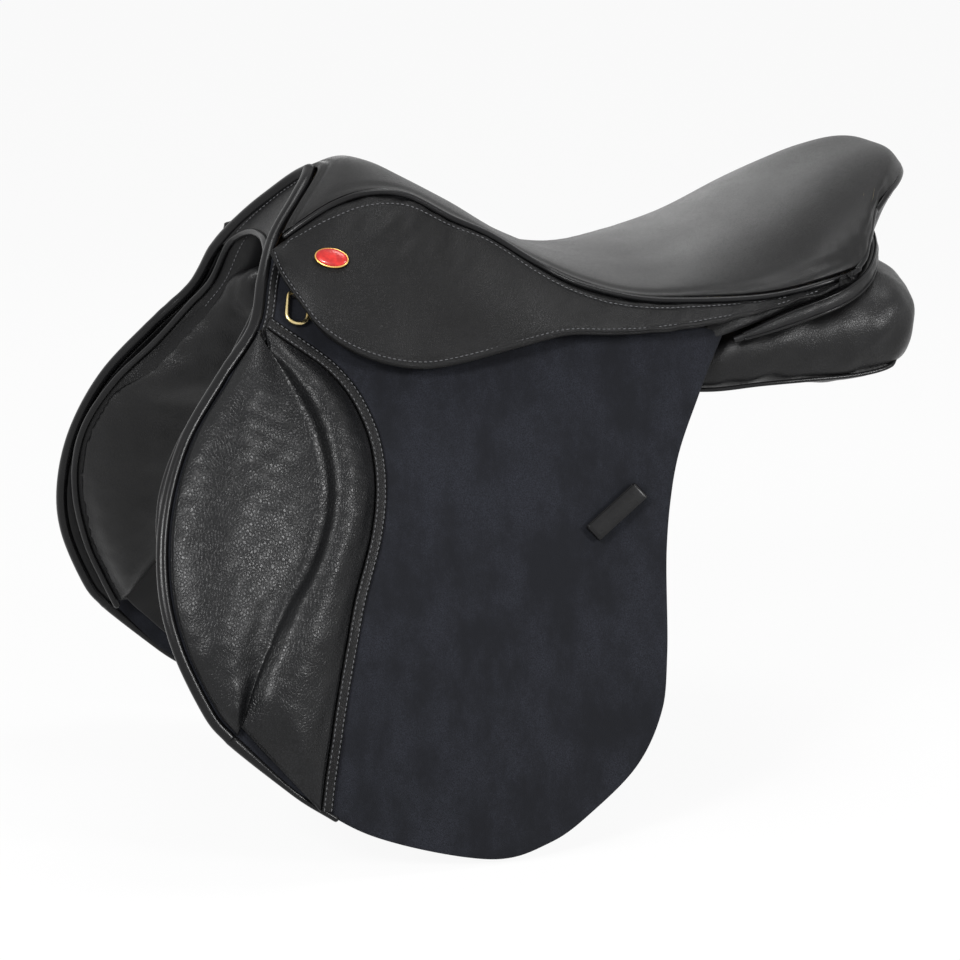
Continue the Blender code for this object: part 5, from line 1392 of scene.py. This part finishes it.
def archLine():
    # middle of the tree's arch on the off side, from the top of the head downwards
    line = np.array([(-193, 0, 96), (-200, 17, 89), (-210, 32, 74)], float) * mm
    side = np.array([(-222, 50), (-231, 26), (-235, 4), (-236, -16)], float) * mm
    return np.vstack([line, onSide(side, -0.0184)[0]])


def buildLining():
    # leather that lines the arch: from the roll round its front back under the tree
    k = liningPiece
    arch = archLine()
    share, knots = np.linspace(0, 1, 110), np.linspace(0, 1, 8)
    front = splineAt(panelRollLine(), np.interp(share, knots, [0, 1, 2, 3, 4, 5, 6, 6.6]))
    place = np.interp(share, knots, [0, 1, 2, 2.6, 3.3, 4, 5, 5.8])
    middle = splineAt(arch, place)
    run = unit(splineAt(arch, place + 0.05) - splineAt(arch, np.maximum(place - 0.05, 0)))
    run[0] = (0.0, 1.0, 0.0)
    wide = unit(np.array([1.0, 0, 0]) - run * run[:, :1])
    out = np.cross(run, wide)
    centre = middle * np.array([1.0, 0, 0]) + np.array([0, 0, -0.02])
    out *= np.sign(np.sum(out * (middle - centre), axis=1))[:, None]
    rows = [front + (middle - front) * 0.05 - out * 0.001, middle - out * k["under"] - wide * k["half"],
            middle - out * k["under"] + wide * k["half"],
            middle - out * (k["under"] - k["turnedIn"]) + wide * (k["half"] + 0.004)]
    half = splineRow(np.stack(rows).reshape(4, -1), 30).reshape(30, -1, 3).transpose(1, 0, 2)
    grid = mirrored(half)
    normals = gridNormals(grid)
    normals *= np.sign(np.sum(normals * mirrored(-out)[:, None], axis=-1, keepdims=True) + 1e-9)
    grid = grid + normals * (k["soft"] * ripple(grid, 0.03, 73))[..., None]
    fitted("head_lining", gridSheet(grid, k["leather"], normals), "facing", "grained_leather", "saddle")
    facing = normals[2:-2, 4]
    stitched("head_lining_stitches", [(grid[2:-2, 4] + facing * 0.0002, facing)], "saddle")


def buildInnerStrip(name, sign):
    # stitched strip behind the roll on the flap's inner face
    s = innerStripPiece
    near = splineAt(inset(flapPlace(flapFront), frontRollRadius - 0.0006), np.linspace(1.0, 9.0, 200))
    u = np.linspace(0, 1, 10)
    inner, normal = onSide(between(near, inset(near, s["wide"]), u), s["depth"])
    inner = inner - normal * (0.0003 * np.sin(np.pi * u))[None, :, None]
    fitted("flap_inner_strip_" + name, gridSheet(inner, s["leather"], -normal), "facing", "grained_leather",
           ("flap", name), sign=sign)
    stitched("flap_inner_stitches_" + name, [(inner[1:-1, 5], -normal[1:-1, 5])], ("flap", name), sign)


def buildGusset(name, sign):
    # leather that closes the space between the skirt's tail and the roll round the cantle's foot
    g = gussetPiece
    share = np.linspace(0, 1, 90)
    low = splineAt(np.array(cantleRollLine, float) * mm, share * 6.2) + np.array(g["lowOffset"])
    low[:, 0] -= 0.012 * (1 - share)
    high = splineAt(np.array(seatEdge, float) * mm, 10.2 + share * 5.0) + np.array(g["highOffset"])
    t = np.linspace(0, 1, 14)
    grid = between(low, high, t)
    normals = facingAlong(grid, 1)
    grid = grid + normals * (g["swell"] * np.sin(np.pi * t)[None] + g["soft"] * ripple(grid, 0.02, 75))[..., None]
    fitted("rear_gusset_" + name, gridSheet(grid, g["leather"], normals), "panel", "grained_leather", "saddle",
           sign=sign)


buildHead()
buildLining()
onEachSide("head", buildInnerStrip, buildGusset)

# sweat flaps and girth webs
sweatOutline = [(0.700, -0.070), (0.765, -0.050), (0.887, 0.120), (0.945, 0.247), (0.963, 0.389), (0.941, 0.516),
                (0.904, 0.617), (0.868, 0.687), (0.777, 0.794), (0.664, 0.877), (0.567, 0.921), (0.467, 0.943),
                (0.362, 0.927), (0.289, 0.883), (0.220, 0.807), (0.178, 0.722), (0.163, 0.611), (0.155, 0.437),
                (0.140, 0.320), (0.110, 0.180), (0.080, 0.080), (0.110, 0.030), (0.257, 0.009), (0.493, -0.006)]
sweatPiece = {"centre": (0.55, 0.42), "leather": 0.0025, "rings": 38, "count": 260, "seam": 0.975,
              "soft": 0.0004}
webPiece = {"middle": -0.117, "half": 0.0485, "foot": -0.022, "leather": 0.0025, "rings": 20, "count": 160,
            "centre": (-0.120, 0.010)}


def sweatRelief(top, flat):
    return sweatPiece["soft"] * ripple(top, 0.09, 81)


def buildSweatFlap(name, sign):
    s = sweatPiece
    count = len(sweatOutline)
    ring = splineAt(np.vstack([flapPlace(sweatOutline)] * 3), count + count * np.arange(s["count"]) / s["count"])
    outline, centre = evenly(ring, s["count"]), flapPlace(s["centre"])
    fitted("sweat_flap_leather_" + name, starSheet(outline, centre, s["rings"], -strapSpace, s["leather"], sweatRelief),
           "smooth", "smooth_leather", "saddle", "sweat_flap_" + name, sign=sign)
    edge = evenly(centre + (outline - centre) * s["seam"], 400)
    stitched("sweat_flap_stitches_" + name, [onSide(np.vstack([edge, edge[:1]]), -strapSpace + 0.0001)], "saddle", sign)


def buildGirthWeb(name, sign):
    w = webPiece
    left, right, foot = w["middle"] - w["half"] + 0.003, w["middle"] + w["half"], w["foot"]
    corners = [(left, foot), (right - 0.003, foot), (right - 0.003, 0.026), (right - 0.020, 0.036), (-0.120, 0.054),
               (left, 0.064)]
    outline, centre = evenly(corners, w["count"]), np.array(w["centre"])
    sheet = starSheet(outline, centre, w["rings"], -(strapSpace + 0.0032) / 2 - 0.0006, w["leather"])
    flat = centre + (outline[None] - centre) * np.linspace(0, 1, w["rings"] + 1)[1:, None, None]
    chart = np.vstack([centre[None], flat.reshape(-1, 2)])
    fitted("girth_webbing_" + name, sheet, "web", "webbing", "saddle", "girth_web_" + name, sign=sign,
           uv=np.vstack([chart, chart, outline, outline, outline]))


onEachSide("sweat flaps and webs", buildSweatFlap, buildGirthWeb)

# solids that keep their CAD shape
keptLooks = {"tree_": "wood", "gullet_plate": "steel", "stirrup_bar": "steel", "bar_catch": "steel",
             "catch_pin": "steel", "girth_strap": "strap", "buckle_guard": "strap", "dee_chape": "strap"}
for node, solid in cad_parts.items():
    for start, look in keptLooks.items():
        if node.startswith(start):
            for slot in solid.material_slots:
                slot.material = looks[look]

# floor, world, lamps and camera
studio = {"floorDrop": 0.004, "floorHalf": 6.0, "worldStrength": 0.38, "floorGlow": 0.92, "imageSize": 960,
          "pixelFocal": 4000.0, "azimuth": -18.0, "elevation": 13.0, "distance": 2.64, "sensor": 36.0,
          "sightPoint": (-0.200, 0.0, 0.110), "sightPixel": (315.0, 173.0), "lampAim": (-0.06, 0, -0.05)}
# each lamp's place, width and power
lamps = {"top": ((0.25, -0.25, 1.9), 0.8, 13.0), "left": ((-1.75, -1.2, 0.6), 0.4, 11.0),
         "front": ((-1.6, -1.65, 1.2), 0.5, 36.0), "right": ((1.1, -1.9, 0.65), 0.55, 30.0),
         "behind": ((0.30, 1.9, 0.60), 0.45, 1.7)}


def cameraRays(tree):
    # 1 where the camera looks, straight or by way of a shine or a pane, and 0 for light that falls on things
    path = tree.nodes.new("ShaderNodeLightPath")
    seen = Socket(tree, path.outputs["Is Camera Ray"])
    for label in ("Is Glossy Ray", "Is Transmission Ray"):
        seen = seen.math("MAXIMUM", Socket(tree, path.outputs[label]))
    return seen


def emptyTree(owner):
    owner.use_nodes = True
    owner.node_tree.nodes.clear()
    return owner.node_tree


def mixedShaders(tree, share, first, second, output):
    mix, out = tree.nodes.new("ShaderNodeMixShader"), tree.nodes.new(output)
    for link, slot in zip((share.link, first.outputs[0], second.outputs[0]), mix.inputs):
        tree.links.new(link, slot)
    tree.links.new(mix.outputs[0], out.inputs[0])


def buildStudio():
    world = bpy.data.worlds.new("studio")
    bpy.context.scene.world = world
    tree = emptyTree(world)
    backs = []
    for strength in (studio["worldStrength"], 1.0):
        node = tree.nodes.new("ShaderNodeBackground")
        node.inputs["Color"].default_value = (1, 1, 1, 1)
        node.inputs["Strength"].default_value = strength
        backs.append(node)
    mixedShaders(tree, cameraRays(tree), *backs, "ShaderNodeOutputWorld")
    makeStudioFloor()
    for label, (place, size, watts) in lamps.items():
        lamp = bpy.data.lights.new(label, "AREA")
        lamp.shape, lamp.size, lamp.energy = "DISK", size, watts
        holder = placed("lamp_" + label, lamp)
        holder.location = place
        holder.rotation_euler = (Vector(studio["lampAim"]) - Vector(place)).to_track_quat("-Z", "Y").to_euler()


def makeStudioFloor():
    look = bpy.data.materials.new("white floor")
    tree = emptyTree(look)
    paint, glow = tree.nodes.new("ShaderNodeBsdfDiffuse"), tree.nodes.new("ShaderNodeEmission")
    paint.inputs["Color"].default_value = (0.86, 0.86, 0.86, 1)
    glow.inputs["Strength"].default_value = 1.0
    mixedShaders(tree, cameraRays(tree) * studio["floorGlow"], paint, glow, "ShaderNodeOutputMaterial")
    level, half = cadBox[0][2] - studio["floorDrop"], studio["floorHalf"]
    mesh = bpy.data.meshes.new("floor")
    mesh.from_pydata([(x * half, y * half, level) for x, y in ((-1, -1), (1, -1), (1, 1), (-1, 1))], [],
                     [(0, 1, 2, 3)])
    mesh.materials.append(look)
    return placed("floor", mesh)


def buildCamera():
    s = studio
    a, e = math.radians(s["azimuth"]), math.radians(s["elevation"])
    back = Vector((math.sin(a) * math.cos(e), -math.cos(a) * math.cos(e), math.sin(e)))
    right = Vector((math.cos(a), math.sin(a), 0))
    up = back.cross(right)
    perPixel = s["distance"] / s["pixelFocal"]
    across, down = ((pixel - s["imageSize"] / 2) * perPixel for pixel in s["sightPixel"])
    lens = bpy.data.cameras.new("camera")
    lens.sensor_width = s["sensor"]
    lens.lens = s["pixelFocal"] / s["imageSize"] * lens.sensor_width
    lens.clip_start, lens.clip_end = 0.05, 50
    camera = placed("camera", lens)
    camera.location = Vector(s["sightPoint"]) + back * s["distance"] - right * across + up * down
    camera.rotation_euler = back.to_track_quat("Z", "Y").to_euler()
    bpy.context.scene.camera = camera


buildStudio()
buildCamera()
bpy.context.scene.view_settings.view_transform = "Standard"
print("studio")

bpy.context.view_layer.update()
